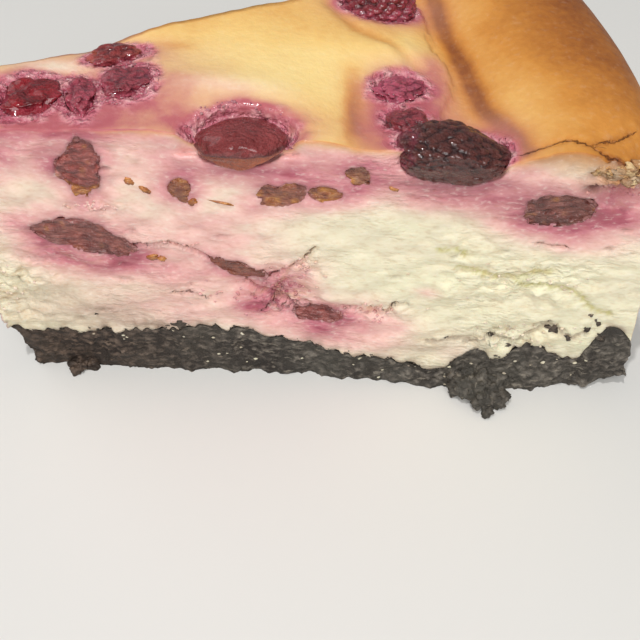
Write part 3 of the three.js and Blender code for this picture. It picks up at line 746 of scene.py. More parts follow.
# Baked cream: matt pale cream where it was cut, stained pink and plum by juice, with painted shade in its
# dents and cracks and just under the berries at the top edge; a satin custard-yellow skin on the top that
# turns golden brown at the rim, with painted light and shade laid into the brown. Fine crumbs of curd roughen
# the cuts, with painted shade in their hollows and painted highlights on their tops.
cream, tree, shader = new_material(
    "baked_cream", Specular_IOR_Level=0.35, Subsurface_Weight=0.12, Subsurface_Scale=0.003
)
shader.inputs["Subsurface Radius"].default_value = (1, 0.7, 0.5)
mottle = unevenness(tree, 0.009, (1.6, 1.6, 0.7))
speckle = unevenness(tree, 0.0013, (2.2, 2.2, 0.7), 4)
crumbs = unevenness(tree, 0.00055, (1.8, 1.8, 0.9), 3)
plain = ramp(tree, mottle, [(0.35, colour(243, 238, 204)), (0.65, colour(239, 230, 200))])
plain = mixed(tree, times(tree, mask_of(tree, "torn"), 0.45), plain, colour(252, 245, 210))
pink_sway = plus(tree, 1.0, times(tree, minus(tree, speckle, 0.5), 0.6))
pink_here = times(tree, mask_of(tree, "pink"), pink_sway, clamp=True)
stained = ramp(tree, pink_here, [
    (0.0, colour(249, 222, 205)), (0.3, colour(248, 206, 193)), (0.6, colour(230, 168, 166)),
    (0.85, colour(206, 128, 138)), (1.0, colour(178, 92, 108)),
])
cut = mixed(tree, times(tree, pink_here, 3.2, clamp=True), plain, stained)
# Plum juice stains, with painted shade just under the berries at the top edge.
cut = mixed(tree, mask_of(tree, "plum"), cut, colour(158, 102, 108))
cut = mixed(tree, times(tree, mask_of(tree, "whey"), 0.75), cut, colour(206, 198, 120))
# Smudges of crumb, with painted shade in one wide patch low on the left of the front cut.
cut = mixed(tree, times(tree, mask_of(tree, "smudge_and_shade"), 0.8), cut, colour(150, 124, 108))
pores = times(tree, minus(tree, unevenness(tree, 0.0011, (1, 1, 1), 4), 0.5), 0.14)
brown_sway = times(tree, minus(tree, unevenness(tree, 0.006), 0.5), 0.2)
brown_sway = plus(tree, brown_sway, pores)
brown_here = plus(tree, mask_of(tree, "golden"), brown_sway, clamp=True)
baked = ramp(tree, brown_here, [
    (0.0, colour(252, 223, 154)), (0.25, colour(247, 206, 128)), (0.5, colour(230, 172, 94)),
    (0.72, colour(210, 141, 62)), (0.88, colour(178, 110, 44)), (1.0, colour(140, 78, 34)),
])
baked_pink = mixed(tree, times(tree, pink_here, 1.15, clamp=True), baked, ramp(tree, pink_here, [
    (0.2, colour(218, 158, 130)), (0.6, colour(202, 124, 120)), (1.0, colour(184, 97, 104)),
]))
curdled = worked(tree, "ABSOLUTE", minus(tree, unevenness(tree, 0.0045, (1.6, 1.6, 0.8), 4), 0.5))
curdled = minus(tree, 1.0, times(tree, curdled, 22.0), clamp=True)
curdled = times(tree, curdled, times(tree, mask_of(tree, "torn"), 0.5))
cut = mixed(tree, curdled, cut, colour(208, 172, 124))
final = mixed(tree, mask_of(tree, "skin"), cut, baked_pink)
pulp = unevenness(tree, 0.0014, (1, 1, 1), 3)
final = mixed(tree, mask_of(tree, "mush"), final, ramp(tree, pulp, [
    (0.34, colour(192, 98, 114)), (0.5, colour(218, 134, 146)), (0.66, colour(238, 178, 178)),
]))
mashed_here = times(tree, mask_of(tree, "mashed"), shift(tree, pulp, 0.4, 0.62, 0.9, 0.3))
final = mixed(tree, mashed_here, final, colour(160, 58, 80))
# Painted shade in the dents and the cavity under the crust corner, and on some crust crumbs.
final = mixed(tree, times(tree, mask_of(tree, "crevice_shade"), 0.95), final, colour(98, 52, 46))
# A painted line of shade along each crack, in the rim's skin and in the front cut.
line = times(tree, worked(tree, "ABSOLUTE", mask_of(tree, "crack_side")), 5.0)
line = times(tree, minus(tree, 1.0, line, clamp=True), mask_of(tree, "crack_near"))
line = times(tree, line, shift(tree, unevenness(tree, 0.0022), 0.4, 0.55, 0.25))
final = mixed(tree, times(tree, line, 0.62), final, colour(124, 68, 44))
matt = minus(tree, 1.0, times(tree, mask_of(tree, "skin"), 0.85))
# Painted shade in the hollows between the fine crumbs of curd.
recess_shade = times(tree, minus(tree, 0.5, crumbs, clamp=True), 1.6)
recess_shade = times(tree, recess_shade, matt, clamp=True)
final = mixed(tree, recess_shade, final, colour(226, 202, 184), "MULTIPLY")
# Painted highlight on the tops of the fine crumbs of curd.
ridge_highlight = times(tree, minus(tree, crumbs, 0.56, clamp=True), 3.0)
ridge_highlight = times(tree, ridge_highlight, matt, clamp=True)
final = mixed(tree, times(tree, ridge_highlight, 0.6), final, colour(255, 244, 228))
gloss = minus(tree, 0.62, times(tree, mask_of(tree, "wet"), 0.42))
gloss = minus(tree, gloss, times(tree, mask_of(tree, "skin"), 0.1), clamp=True)
tree.links.new(gloss, shader.inputs["Roughness"])
streak = unevenness(tree, 0.0013, (2.4, 2.4, 0.9), 4)
height = plus(tree, minus(tree, streak, 0.5), times(tree, minus(tree, crumbs, 0.5), 0.6))
patchy = shift(tree, unevenness(tree, 0.011, (1.5, 1.5, 0.8)), 0.48, 0.74, 0.08)
strength = plus(tree, patchy, times(tree, mask_of(tree, "torn"), 0.8))
strength = times(tree, strength, matt)
strength = plus(tree, strength, times(tree, mask_of(tree, "crust"), 0.8))
height = times(tree, height, strength)
pulpy = times(tree, minus(tree, pulp, 0.5), 2.4)
height = plus(tree, height, times(tree, mask_of(tree, "mush"), pulpy))
height = minus(tree, height, times(tree, line, 0.45))
height = plus(tree, height, times(tree, mask_of(tree, "skin"), pores))
finish_shader(tree, shader, final, height, 0.0009)

filling = make_piece("filling_cream", corners, filling_faces.tolist(), cream, dict(
    skin=skin, golden=golden, pink=pink, plum=plum, wet=wet, torn=torn, whey=whey * near_front,
    crevice_shade=crevice_shade * near_front, smudge_and_shade=smudge_and_shade, crust=crust, mush=mush, mashed=mashed, crack_side=crack_side,
    crack_near=crack_near
))
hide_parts("filling")

# The crumb base: dark cookie crumbs pressed with butter into the tin's bottom. Its upper edge is ragged
# where the filling sank in, its sides crumbled under the knife, and a clump fell forward from it near the
# rim.
TIP_UNDERCUT = 2.2
RIM_SPREAD = 0.6
CRUMB_SET_BACK = 0.3
FRONT_BELLY = 1.8
CORNER_LIFT = 3.0
CLUMP = [
    ((95.6, -1.7, 2.5), (4.4, 3.7, 2.7)),
    ((97.8, -3.6, 1.7), (3.4, 3.3, 2.3)),
    ((98, -6.3, 0.6), (1.2, 1.9, 1.1)),
    ((28, -0.1, 0.5), (2.2, 1.8, 1)),
    ((30, 0.3, 0.4), (1.5, 1.2, 0.8)),
]


def crumb_relief(places):
    """How far crumbs stand out: round caps on seeded points of three sizes, on coarse lumps."""
    coarse, coarse_draw = grains(places, 2.2, 31)
    small, small_draw = grains(places, 1.1, 32)
    fine, fine_draw = grains(places, 0.7, 34)
    caps = 0.3 * coarse_draw * (1 - rise(coarse, 0.2, 0.75))
    caps = caps + 0.36 * small_draw * (1 - rise(small, 0.15, 0.7))
    caps = caps + 0.26 * fine_draw * (1 - rise(fine, 0.15, 0.6))
    return caps + 0.2 * lumps(places, 3.5, 33) - 0.25


def base_corners(u, v, w):
    """The base's surface: from the seam down it leaves the filling's outline, to a flat underside."""
    above, r, _, _ = filling_corners(u, v, np.zeros_like(u))
    x, y, top = above.T
    angle = v * SLICE_ANGLE
    down = np.sqrt(1 - w)
    tip = (TIP_UNDERCUT + 1.1 * waver(v * 9, w * 10, 6, 2.7)) * (1 - u) ** 6
    rim = (RIM_SPREAD + 0.7 * waver(v * 55, w * 10, 9, 0.3)) * u ** 6
    out = (tip + rim) * down
    front = (CRUMB_SET_BACK + 0.45 * waver(x, w * 9, 8, 1.3)) * down
    front = front - FRONT_BELLY * hill(x, w, (93, 0), (17, 0.8))
    rear = (CRUMB_SET_BACK + 0.45 * waver(x, w * 9, 8, 4.4)) * down
    lift = CORNER_LIFT * (1 - w) * hill(x, y, (121, 0), (6, 6))
    places = np.stack([x + out * np.cos(angle), y + out * np.sin(angle), w * (top - SEAM_GAP) + lift], 1)
    return places + np.outer(front * (1 - v) ** 3, INTO_FRONT) - np.outer(rear * v ** 3, REAR_NORMAL)


def ball(rows, turns):
    """A sphere of radius 1: corners by rows of latitude and turns of longitude, one corner at each pole,
    and faces that look out, squares between and triangles at the poles."""
    latitude = np.linspace(0, math.pi, rows + 1)[1:-1]
    longitude = np.arange(turns) * 2 * math.pi / turns
    lat, lon = np.meshgrid(latitude, longitude, indexing="ij")
    ring = np.stack([np.sin(lat) * np.cos(lon), np.sin(lat) * np.sin(lon), np.cos(lat)], -1).reshape(-1, 3)
    places = np.vstack([ring, [0, 0, 1], [0, 0, -1]])
    number = np.arange(len(ring)).reshape(rows - 1, turns)
    beside = np.roll(number, -1, axis=1)
    squares = np.stack([number[:-1], number[1:], beside[1:], beside[:-1]], -1).reshape(-1, 4)
    north = np.stack([np.full(turns, len(ring)), number[0], beside[0]], -1)
    south = np.stack([np.full(turns, len(ring) + 1), beside[-1], number[-1]], -1)
    return places, squares.tolist() + np.vstack([north, south]).tolist()


u, v, w, base_faces = block_skin(*BASE_CELLS)
v = v * (0.4 + 0.6 * v)
base_places = base_corners(u, v, w)
outward = np.zeros_like(base_places)
outward[v == 0] -= INTO_FRONT
outward[v == 1] += REAR_NORMAL
outward[u == 0] -= ALONG_REAR
outward[u == 1] += ALONG_REAR
outward /= np.maximum(np.linalg.norm(outward, axis=1), 1)[:, None]
base_places += outward * (crumb_relief(base_places) * (1 - w ** 8) * 1.15)[:, None]

base_parts, crumb_faces = [base_places], base_faces.tolist()
for centre, half in CLUMP:
    places, faces = ball(44, 72)
    lump = np.array(centre) + places * np.array(half)
    rough = 2.3 * crumb_relief(lump * 1.1) + 1.1 * lumps(lump, 1.7, 35)
    lump += places * (rough * min(1, half[0] / 3))[:, None]
    lump[:, 2] = np.maximum(lump[:, 2], 0)
    count = sum(len(part) for part in base_parts)
    base_parts.append(lump)
    crumb_faces += [[corner + count for corner in face] for face in faces]

crumb, tree, shader = new_material("dark_crumb", Roughness=0.62, Specular_IOR_Level=0.4)
grain = unevenness(tree, 0.0008, (1.8, 1.8, 1), 5)
# Lighter where crumbs stand out and darker between them: painted light and shade.
grain = plus(tree, grain, times(tree, mask_of(tree, "raised"), 0.2))
shade = ramp(tree, grain, [
    (0.4, colour(50, 43, 38)), (0.55, colour(90, 82, 74)), (0.72, colour(130, 121, 110)),
])
patch = shift(tree, unevenness(tree, 0.012), 0.35, 0.65)
shade = mixed(tree, times(tree, patch, 0.4), shade, colour(100, 97, 87))
# Pale flecks in the crumbs, partly painted glints.
fleck_and_glint = shift(tree, unevenness(tree, 0.0008, (2.4, 2.4, 0.8), 3), 0.62, 0.67)
shade = mixed(tree, times(tree, fleck_and_glint, 0.4), shade, colour(168, 157, 140))
shade = mixed(tree, mask_of(tree, "toasted"), shade, colour(220, 196, 184), "MULTIPLY")
finish_shader(tree, shader, shade, unevenness(tree, 0.0006, (1, 1, 1), 5), 0.0005)

all_crumbs = np.concatenate(base_parts)
# The crumbs' relief goes along as raised, for their painted light and shade.
base = make_piece("cookie_crumb_base", all_crumbs, crumb_faces, crumb, dict(
    raised=2.2 * crumb_relief(all_crumbs), toasted=1 - rise(all_crumbs[:, 0], 24, 66)
))
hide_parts("crumb_base")

# Berries on the top: red and dark berries that sank half into the cream and collapsed in the oven. Their
# drupelets are wet round caps, pressed flat where the berry was crushed; the halved one has one smooth
# skin. Fruit: number of drupelets, how deep the creases are, how crumpled it is, at what share of its
# height it is pressed flat, and its colours on caps and in creases, the darker one in the creases being
# painted shade.
FRUIT = {
    "berry_top_back": (150, 0.13, 0.05, 1, (146, 48, 58), (92, 24, 32)),
    "berry_top_crushed": (110, 0.2, 0.24, 0.5, (206, 98, 122), (136, 46, 70)),
    "berry_edge_dark": (260, 0.08, 0.06, 1, (102, 50, 42), (54, 20, 19)),
    "berry_edge_side": (60, 0.14, 0.16, 0.8, (160, 64, 74), (104, 36, 46)),
    "berry_edge_halved": (0, 0, 0.04, 1, (146, 62, 62), (146, 62, 62)),
    "berry_tip_dark": (60, 0.12, 0.26, 0.5, (158, 62, 60), (110, 38, 42)),
    "berry_tip_middle": (60, 0.12, 0.3, 0.45, (164, 68, 80), (116, 40, 56)),
    "berry_tip_near": (50, 0.14, 0.3, 0.4, (190, 82, 100), (134, 44, 64)),
    "berry_tip_red": (20, 0.06, 0.34, 0.4, (160, 22, 36), (120, 14, 26)),
    "berry_tip_end": (16, 0.08, 0.26, 0.6, (190, 34, 52), (146, 20, 36)),
}
HALVED_CREASE = 49.7
MELT = {"berry_edge_dark": 0.15, "berry_edge_halved": 0.2, "berry_tip_red": 0.3}
FLESH = colour(182, 96, 62)
DARK_FLESH = colour(108, 54, 44)
MELTED = colour(206, 96, 120)
BURST = colour(150, 62, 82)


def drupelets(directions, number, crease, seed):
    """Size of a berry in each direction and where the caps are: 1 on round caps about points spread on a
    spiral, moved a little at random, less by the crease's depth between them."""
    index = np.arange(number)
    height = 1 - (2 * index + 1) / number
    around = index * math.pi * (3 - math.sqrt(5))
    out = np.sqrt(1 - height ** 2)
    middles = np.stack([out * np.cos(around), out * np.sin(around), height], 1)
    draw = np.random.default_rng(seed)
    middles += draw.normal(0, 0.4 / math.sqrt(number), middles.shape)
    middles /= np.linalg.norm(middles, axis=1)[:, None]
    width = 2.1 / math.sqrt(number) * draw.uniform(0.75, 1.2, number)
    angle = np.arccos(np.clip(directions @ middles.T, -1, 1)) / width
    cap = np.sqrt(np.maximum(1 - np.min(angle, axis=1) ** 2, 0))
    return 1 - crease + crease * cap, cap


def blended(tones, share, shade):
    """Each corner's colour, mixed with one shade by the corner's share."""
    return tones * (1 - share[:, None]) + np.array(shade) * share[:, None]


def sliced(places, cut_at, kept):
    """How far back each corner lies once a knife passed at cut_at and left a share of what was in front."""
    past = np.minimum(places[:, 1] - cut_at, 0)
    return np.where(past < 0, cut_at + kept * past, places[:, 1])


wet_berry, tree, shader = new_material(
    "wet_berry", Roughness=0.3, Specular_IOR_Level=0.25, Coat_Weight=0.9, Coat_Roughness=0.07,
    Subsurface_Weight=0.1, Subsurface_Scale=0.0015
)
shader.inputs["Subsurface Radius"].default_value = (1, 0.25, 0.2)
tone = add_node(tree, "ShaderNodeAttribute", attribute_name="tone").outputs["Color"]
patch = shift(tree, unevenness(tree, 0.0022), 0.35, 0.7, 0.0, 0.8)
shade = mixed(tree, patch, tone, colour(190, 140, 140), "MULTIPLY")
finish_shader(tree, shader, shade, unevenness(tree, 0.0006, (1, 1, 1), 3), 0.001)

for number, name in enumerate(TOP_BERRIES):
    egg = eggs[name]
    count, crease, crumple, pressed, cap_colour, crease_shade_colour = FRUIT[name]
    directions, faces = ball(96, 170) if name == "berry_edge_dark" else ball(76, 130)
    size, cap = egg_outline(directions, egg), np.ones(len(directions))
    if count:
        caps, cap = drupelets(directions, count, crease, 100 + number)
        size = size * caps
    crumpled = lumps(directions + number, 0.6, 41) + 0.6 * lumps(directions, 0.28, 44)
    size = size * (1 + crumple * crumpled)
    places = egg["centre"] + (directions * size[:, None] * np.array(egg["half"])) @ egg["turn"].T
    over = np.maximum(places[:, 2] - egg["centre"][2] - pressed * egg["half"][2], 0) * (pressed < 1)
    places[:, 2] -= over * (0.7 - 0.25 * lumps(places, 1.6, 50))
    places += directions * (0.1 * lumps(places, 0.8, 42))[:, None]
    flesh, flesh_colour = np.zeros(len(places)), FLESH
    if name == "berry_edge_dark":
        flesh_colour = DARK_FLESH
        narrower = (1 - 0.3 * rise(places[:, 0], 89.5, 97.5))[:, None]
        places[:, 1:] = egg["centre"][1:] + (places[:, 1:] - egg["centre"][1:]) * narrower
        flesh = 0.8 * rise(48.4 - places[:, 2] + 0.6 * lumps(places, 1.5, 52), 0, 1.8)
        scraped, _ = grains(places, (1.5, 3, 0.9), 53)
        cut_at = -1.3 + 0.7 * rise(48.6 - places[:, 2], 0, 2.5) + 0.2 * lumps(places, (2.6, 1, 0.9), 47)
        cut_at = cut_at + 0.3 * rise(scraped, 0.2, 0.7)
        places[:, 1] = sliced(places, cut_at, 0.12)
    if name == "berry_edge_halved":
        below = HALVED_CREASE - places[:, 2]
        lower = rise(below, 0, 0.4)
        narrower = 1 - 0.32 * rise(below - 0.1 + 0.3 * lumps(places, 1.8, 54), 0, 2.2)
        places[:, 0] = egg["centre"][0] + (places[:, 0] - egg["centre"][0]) * narrower
        pointed = 1 - 0.3 * rise(np.abs(directions[:, 0]), 0.5, 1)
        places[:, 1] = egg["centre"][1] + (places[:, 1] - egg["centre"][1]) * pointed
        cut_at = -1.4 + 0.6 * lower + 0.16 * lumps(places, (1.4, 1, 0.8), 43)
        places[:, 1] = sliced(places, cut_at, 0.45 - 0.35 * lower)
        flesh = lower * rise(-places[:, 1], -0.3, 0.2)
    if name == "berry_tip_dark":
        flesh = 0.8 * rise(np.abs(directions[:, 0]), 0.62, 0.9)
    tones = blended(np.array(colour(*crease_shade_colour)), cap, colour(*cap_colour))
    tones = blended(tones, flesh, flesh_colour)
    rim = rise(np.hypot(directions[:, 0], 0 if "edge" in name else directions[:, 1]), 0.8, 1)
    melt = MELT.get(name, 0.6)
    tones = blended(tones, melt * rim * (0.7 + 0.6 * lumps(places, 1.1, 51)), MELTED)
    if name == "berry_edge_dark":
        burst = 0.8 * rise(-directions[:, 0] + 0.25 * lumps(places, 1.4, 56), 0.55, 0.95)
        tones = blended(tones, burst, BURST)
    if name == "berry_edge_halved":
        # Painted shade in a band along the crease under the dome's lower edge.
        tones[:, :3] *= 1 - 0.5 * hill(places[:, 2], 0, (HALVED_CREASE, 0), (0.35, 1))[:, None]
    piece = make_piece(name + "_fruit", places, faces, wet_berry, tones=tones)
    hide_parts(name)

# Berries in the two cuts: the knife went through them, so each shows a moist brown-red section, with the
# walls of its drupelets and ochre pips, level with the cream round it, which was smeared over its edges.
SECTIONS = {
    "berry_front_upper": ((186, 98, 88), (128, 64, 64), 0.25),
    "berry_front_long": ((176, 104, 92), (128, 74, 70), 0.1),
    "berry_front_rim": ((146, 84, 72), (104, 56, 50), 0.15),
    "berry_front_strip": ((170, 100, 76), (138, 78, 60), 0.1),
    "berry_front_low": ((164, 90, 82), (122, 66, 66), 0.1),
    "berry_front_bit_1": ((186, 118, 86), (140, 80, 64), 0.4),
    "berry_front_bit_2": ((196, 132, 82), (146, 88, 64), 0.5),
    "berry_front_bit_3": ((190, 134, 96), (136, 82, 66), 0.4),
    "berry_front_bit_4": ((194, 132, 84), (146, 86, 62), 0.5),
}
PLAIN_SECTION = ((170, 98, 88), (124, 70, 66), 0.2)
OCHRE = colour(204, 138, 70)
SMEARED = colour(196, 138, 134)

cut_berry, tree, shader = new_material(
    "cut_berry", Roughness=0.25, Specular_IOR_Level=0.5, Coat_Weight=0.45, Coat_Roughness=0.06,
    Subsurface_Weight=0.08, Subsurface_Scale=0.0015
)
tone = add_node(tree, "ShaderNodeAttribute", attribute_name="tone").outputs["Color"]
patch = shift(tree, unevenness(tree, 0.0009, (1.6, 1.6, 0.8), 4), 0.35, 0.6)
shade = mixed(tree, patch, tone, colour(196, 164, 160), "MULTIPLY")
finish_shader(tree, shader, shade, unevenness(tree, 0.0007, (1.5, 1.5, 0.8), 4), 0.0009)

for name, egg in eggs.items():
    if name in TOP_BERRIES:
        continue
    pale, dark, pips = SECTIONS.get(name, PLAIN_SECTION)
    directions, faces = ball(64, 110)
    size = egg_outline(directions, egg) * 1.02
    places = egg["centre"] + (directions * size[:, None] * np.array(egg["half"])) @ egg["turn"].T
    surface = front_relief if name in FRONT_BERRIES else rear_relief
    along = places[:, 0] if name in FRONT_BERRIES else places @ ALONG_REAR
    depth = places @ egg["way"] - surface(along, places[:, 2])
    rough = lumps(places, (1.9, 1.9, 0.9), 45)
    wall, draw = grains(places, (1.5, 1.5, 1.1), 46)
    level = 0.16 + 0.28 * rough + 0.4 * (0.5 - draw) * (1 - rise(wall, 0.15, 0.6))
    places += np.outer(np.maximum(level - depth, 0), egg["way"])
    share = np.clip(0.5 + 0.6 * rough + 0.5 * (draw - 0.5), 0, 1)
    tones = blended(np.array(colour(*dark)), share, colour(*pale))
    pip_share = pips + 0.6 * rise(egg["centre"][2] - places[:, 2], 1.5, 4) * (name == "berry_front_upper")
    tones = blended(tones, rise(pip_share + 0.5 * lumps(places, 1.3, 49), 0.35, 0.75), OCHRE)
    smeared = rise(np.hypot(directions[:, 0], directions[:, 2]) + 0.12 * lumps(places, 0.9, 55), 0.9, 1.04)
    tones = blended(tones, 0.55 * smeared, SMEARED)
    piece = make_piece(name + "_section", places, faces, cut_berry, tones=tones)
    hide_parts(name)

# Loose bits in and on the front cut: ochre pips and scraps of berry, dark cookie crumbs that the knife
# dragged up into the cream, curds torn loose, and pale scraps of cream left on the base. Each kind is one
# joined mesh.
SEAM_CRUMBS, CRUST_CRUMBS, SCRAPS = 130, 150, 40
PIPS = [
    ((44.3, 43.3), (1, 0.6), 30), ((46.2, 42), (1.1, 0.55), 40), ((57, 39.8), (1.9, 0.3), 15),
    ((45.2, 28.2), (1, 0.65), -15), ((46.5, 27.9), (0.8, 0.6), 20), ((81.5, 43.3), (0.9, 0.3), 20),
    ((52.8, 39.8), (0.8, 0.6), -30), ((76.1, 44.3), (0.6, 0.4), 0),
]
DARK_CRUMBS = [
    ((107.1, 14.1), (1, 0.8), 0), ((109.8, 12.3), (0.7, 0.5), 30), ((97.7, 12), (0.5, 0.35), 0),
    ((106.4, 15.7), (0.5, 0.4), 0), ((112.7, 18), (0.4, 0.3), 0), ((112.3, 14.8), (0.6, 0.5), 0),
    ((114.8, 12.6), (0.8, 0.6), 0), ((46.8, 12.9), (1.6, 0.8), 0), ((90.5, 11.6), (0.4, 0.3), 0),
    ((113.9, 16.4), (0.6, 0.8), 0), ((33.5, 14.3), (0.35, 0.3), 0), ((100.6, 9.9), (0.7, 0.4), 0),
]


def nearest_number(spots, surface, axes):
    """For each spot, the number of the surface's corner that is nearest to it in two axes."""
    away = sum((spots[:, i, None] - surface[:, axis]) ** 2 for i, axis in enumerate(axes))
    return np.argmin(away, axis=1)


def scatter(name, centres, halves, slants, seed, material, slot, rough=0.4, masks=None, tones=None):
    """One joined mesh of small lumpy eggs: each corner of a coarse ball times the half sizes and a random
    size, turned about Y by the slant, at its centre. Masks and tones hold one value for each egg."""
    unit, faces = ball(6, 9)
    draw = np.random.default_rng(seed)
    size = 1 + rough * draw.uniform(-1, 1, (len(centres), len(unit), 1))
    local = unit * size * halves[:, None]
    cos, sin = np.cos(np.radians(slants))[:, None], np.sin(np.radians(slants))[:, None]
    turned_x = local[..., 0] * cos + local[..., 2] * sin
    turned_z = local[..., 2] * cos - local[..., 0] * sin
    places = centres[:, None] + np.stack([turned_x, local[..., 1], turned_z], -1)
    joined = [[c + k * len(unit) for c in face] for k in range(len(centres)) for face in faces]
    masks = {mask: np.repeat(values, len(unit)) for mask, values in (masks or {}).items()}
    if tones is not None:
        tones = np.repeat(tones, len(unit), axis=0)
    piece = make_piece(name, places.reshape(-1, 3), joined, material, masks, tones)


def scatter_on_front(name, spots, sink, **given_values):
    """As scatter, for spots of place, half sizes and slant on the front cut, sunk into it by a share."""
    at = np.array([spot[0] for spot in spots], float)
    half = np.array([spot[1] for spot in spots], float)
    thick = half.min(axis=1)
    front = corners[on_front]
    depth = front[nearest_number(at, front, (0, 2)), 1]
    centres = np.stack([at[:, 0], depth + (sink - 0.5) * thick, at[:, 1]], 1)
    halves = np.stack([half[:, 0], thick, half[:, 1]], 1)
    scatter(name, centres, halves, np.array([spot[2] for spot in spots], float), **given_values)


draw = np.random.default_rng(8)
scatter_on_front("ochre_pips", PIPS, 0.8, seed=3, material=cut_berry, slot="cut_berry", rough=0.25,
                 tones=np.tile(OCHRE, (len(PIPS), 1)))
seam_x = draw.uniform(20, 117, SEAM_CRUMBS)
seam_up = seam_height(seam_x, np.zeros(SEAM_CRUMBS)) + draw.exponential(0.2, SEAM_CRUMBS) - 0.15
seam_size = draw.uniform(0.1, 0.3, SEAM_CRUMBS)
fine_crumbs = [((a, b), (1.3 * c, 0.8 * c), 90 * (c - 0.2)) for a, b, c in zip(seam_x, seam_up, seam_size)]
dragged = DARK_CRUMBS + fine_crumbs
scatter_on_front("dragged_crumbs", dragged, 0.9, seed=4, material=crumb, slot="crumb_base", rough=0.55,
                 masks=dict(toasted=np.full(len(dragged), 0.6)))

CURD_PATCHES = [
    ((64.5, 20.5), (4.2, 4.5), 80), ((20.5, 20), (2.6, 7), 24), ((79, 16.5), (5, 1.8), 30),
    ((68.5, 27), (1.8, 2), 26), ((100, 25.5), (10, 4), 24), ((39, 38.5), (3.5, 0.8), 20),
    ((50, 31.3), (3.5, 0.8), 18), ((103, 13), (7, 2), 40), ((55, 20.5), (5, 3), 14),
    ((112.6, 43.2), (2.5, 0.9), 44), ((58.4, 26.6), (1, 0.3), 3),
]
curds = []
for (px, pz), (half_x, half_z), amount in CURD_PATCHES:
    for a, b, c in draw.normal(0, 0.6, (amount, 3)):
        half = (0.26 + 0.12 * abs(c), 0.2 + 0.06 * abs(c))
        curds.append(((px + a * half_x, pz + b * half_z), half, 40 * c))
curd_at = np.array([spot[0] for spot in curds])
curd_pink = overlaid(hills(curd_at[:, 0], curd_at[:, 1], FACE_STAINS))
scatter_on_front("torn_curds", curds, 0.85, seed=5, material=cream, slot="filling", masks=dict(
    pink=np.clip(0.12 + curd_pink, 0, 1), torn=np.full(len(curds), 0.6)
))

crust_crumbs = []
for a, b, c in draw.uniform(-1, 1, (CRUST_CRUMBS, 3)):
    crust_x = 113 + 4.8 * a
    crust_z = 47.2 - 0.06 * (crust_x - 109) + (0.5 + 0.9 * rise(crust_x, 108, 114)) * b
    crust_crumbs.append(((crust_x, crust_z), (0.5 + 0.45 * abs(c), 0.26 + 0.2 * abs(c)), 40 * c))
# Some of these crumbs are darkened with painted shade.
scatter_on_front("crust_crumbs", crust_crumbs, 1.15, seed=7, material=cream, slot="filling", masks=dict(
    skin=draw.uniform(0.55, 0.95, CRUST_CRUMBS), golden=draw.uniform(0.4, 0.95, CRUST_CRUMBS),
    crust=np.full(CRUST_CRUMBS, 1.0), crevice_shade=draw.uniform(0, 0.4, CRUST_CRUMBS)
))

# Shreds of berry flesh and stained curd that lie round the berries on the top, wet with juice: for each
# berry their number, and how near to its outline and how far from it they lie.
SHREDS = {
    "berry_tip_red": (90, -0.6, 1.4), "berry_tip_near": (80, -0.5, 1.3),
    "berry_tip_middle": (90, -0.5, 1.2), "berry_tip_dark": (24, -0.4, 0.6), "berry_tip_end": (30, -0.3, 1),
    "berry_edge_halved": (120, -0.9, 0.6), "berry_top_crushed": (50, -1.4, 0.2),
    "berry_edge_dark": (36, -0.6, 0.4), "berry_edge_side": (20, -0.5, 0.4),
    "berry_top_back": (40, -0.5, 0.5),
}
SHRED_COLOURS = np.array([
    colour(226, 150, 160), colour(212, 128, 144), colour(196, 104, 124), colour(234, 172, 174),
])
shred_at = []
for name, (count, near, far) in SHREDS.items():
    around, out = draw.uniform(0, 2 * math.pi, count), draw.uniform(near, far, count)
    reach = np.array(eggs[name]["half"]) + out[:, None]
    level = np.stack([np.cos(around), np.sin(around), np.zeros(count)], 1)
    shred_at.append(eggs[name]["centre"] + (level * reach) @ eggs[name]["turn"].T)
shred_at = np.concatenate(shred_at)
shred_at = shred_at[shred_at[:, 1] > 0.35]
top_corners = corners[on_top]
shred_at[:, 2] = top_corners[nearest_number(shred_at, top_corners, (0, 1)), 2]
count = len(shred_at)
shred_half = draw.uniform(0.08, 0.21, (count, 1)) * draw.uniform(0.7, 1.5, (count, 3)) * [1.2, 1.2, 0.7]
scatter("berry_shreds", shred_at, shred_half, draw.uniform(-30, 30, count), 9, wet_berry, "berry",
        tones=SHRED_COLOURS[draw.choice(4, count, p=[0.35, 0.35, 0.1, 0.2])])

scrap_x = draw.uniform(22, 114, SCRAPS)
scrap_z = draw.uniform(0.15, 0.95, SCRAPS) * seam_height(scrap_x, np.zeros(SCRAPS))
base_front = base_places[v == 0]
scrap_y = base_front[nearest_number(np.stack([scrap_x, scrap_z], 1), base_front, (0, 2)), 1]
scrap_half = np.outer(draw.uniform(0.1, 0.26, SCRAPS), [1.5, 0.8, 0.7])
scrap_at = np.stack([scrap_x, scrap_y - 0.05, scrap_z], 1)
scatter("cream_scraps", scrap_at, scrap_half, draw.uniform(-30, 30, SCRAPS), 6, cream, "filling",
        masks=dict(smudge_and_shade=draw.uniform(0.2, 1, SCRAPS)))

# Floor, light and view: a plain pale floor, a wide soft light from above and behind on the left, weak light
# from the front, a small lamp that glints on wet fruit, and the camera where the photograph was taken.
FLOOR_SIZE = 3.0
half_floor = FLOOR_SIZE / 2
floor_mesh = bpy.data.meshes.new("floor")
floor_corners = [(a * half_floor, b * half_floor, 0) for a, b in [(-1, -1), (1, -1), (1, 1), (-1, 1)]]
floor_mesh.from_pydata(floor_corners, [], [(0, 1, 2, 3)])
floor = bpy.data.objects.new("floor", floor_mesh)
bpy.context.scene.collection.objects.link(floor)
floor_material, tree, shader = new_material("pale_floor", Roughness=0.6)
shader.inputs["Base Color"].default_value = colour(224, 222, 217)
floor_mesh.materials.append(floor_material)

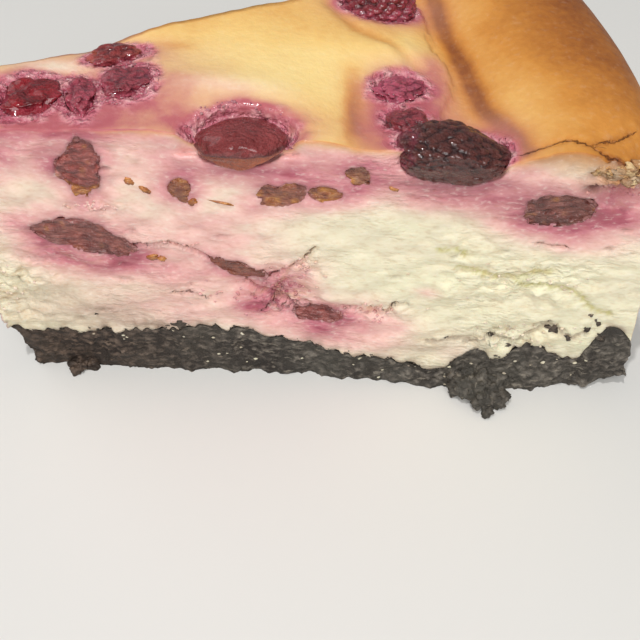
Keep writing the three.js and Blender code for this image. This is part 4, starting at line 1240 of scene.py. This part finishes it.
world = bpy.data.worlds.new("soft_room")
world.use_nodes = True
world.node_tree.nodes["Background"].inputs["Color"].default_value = (0.95, 0.97, 1, 1)
world.node_tree.nodes["Background"].inputs["Strength"].default_value = 0.25
bpy.context.scene.world = world


def area_light(name, place, target, size, watts):
    """A square soft light that looks from its place to a target."""
    light = bpy.data.lights.new(name, "AREA")
    light.size = size
    light.energy = watts
    lamp = bpy.data.objects.new(name, light)
    lamp.location = place
    lamp.rotation_euler = (Vector(target) - Vector(place)).to_track_quat("-Z", "Y").to_euler()
    bpy.context.scene.collection.objects.link(lamp)


area_light("window", (-0.6, 0.3, 0.6), (0, 0, 0.03), 0.6, 1.1)
area_light("room", (0.1, -0.68, 0.72), (0, 0, 0.03), 0.6, 5.6)
area_light("lamp", (-0.06, -0.22, 0.8), (0, 0, 0.05), 0.02, 2.3)

CAMERA_PLACE = (82.03, -104.63, 137.4)
CAMERA_YAW, CAMERA_PITCH, CAMERA_ROLL = math.radians(-6.408), math.radians(49.349), math.radians(-2.923)
FOCAL_PIXELS, IMAGE_PIXELS, SENSOR_MM = 1005.1, 640, 36
look = Vector((
    math.sin(CAMERA_YAW) * math.cos(CAMERA_PITCH), math.cos(CAMERA_YAW) * math.cos(CAMERA_PITCH),
    -math.sin(CAMERA_PITCH)
))
level = Vector((math.cos(CAMERA_YAW), -math.sin(CAMERA_YAW), 0))
raised = level.cross(look)
right = level * math.cos(CAMERA_ROLL) + raised * math.sin(CAMERA_ROLL)
upward = raised * math.cos(CAMERA_ROLL) - level * math.sin(CAMERA_ROLL)
camera_data = bpy.data.cameras.new("camera")
camera_data.sensor_width = SENSOR_MM
camera_data.lens = FOCAL_PIXELS / IMAGE_PIXELS * SENSOR_MM
camera_data.clip_start = 0.01
camera = bpy.data.objects.new("camera", camera_data)
turned = Matrix((right, upward, -look)).transposed().to_4x4()
spot = Vector(CAMERA_PLACE) - Vector((MIDDLE_X, MIDDLE_Y, 0))
camera.matrix_world = Matrix.Translation(spot * MM) @ turned
bpy.context.scene.collection.objects.link(camera)
bpy.context.scene.camera = camera
bpy.context.scene.view_settings.view_transform = "Standard"
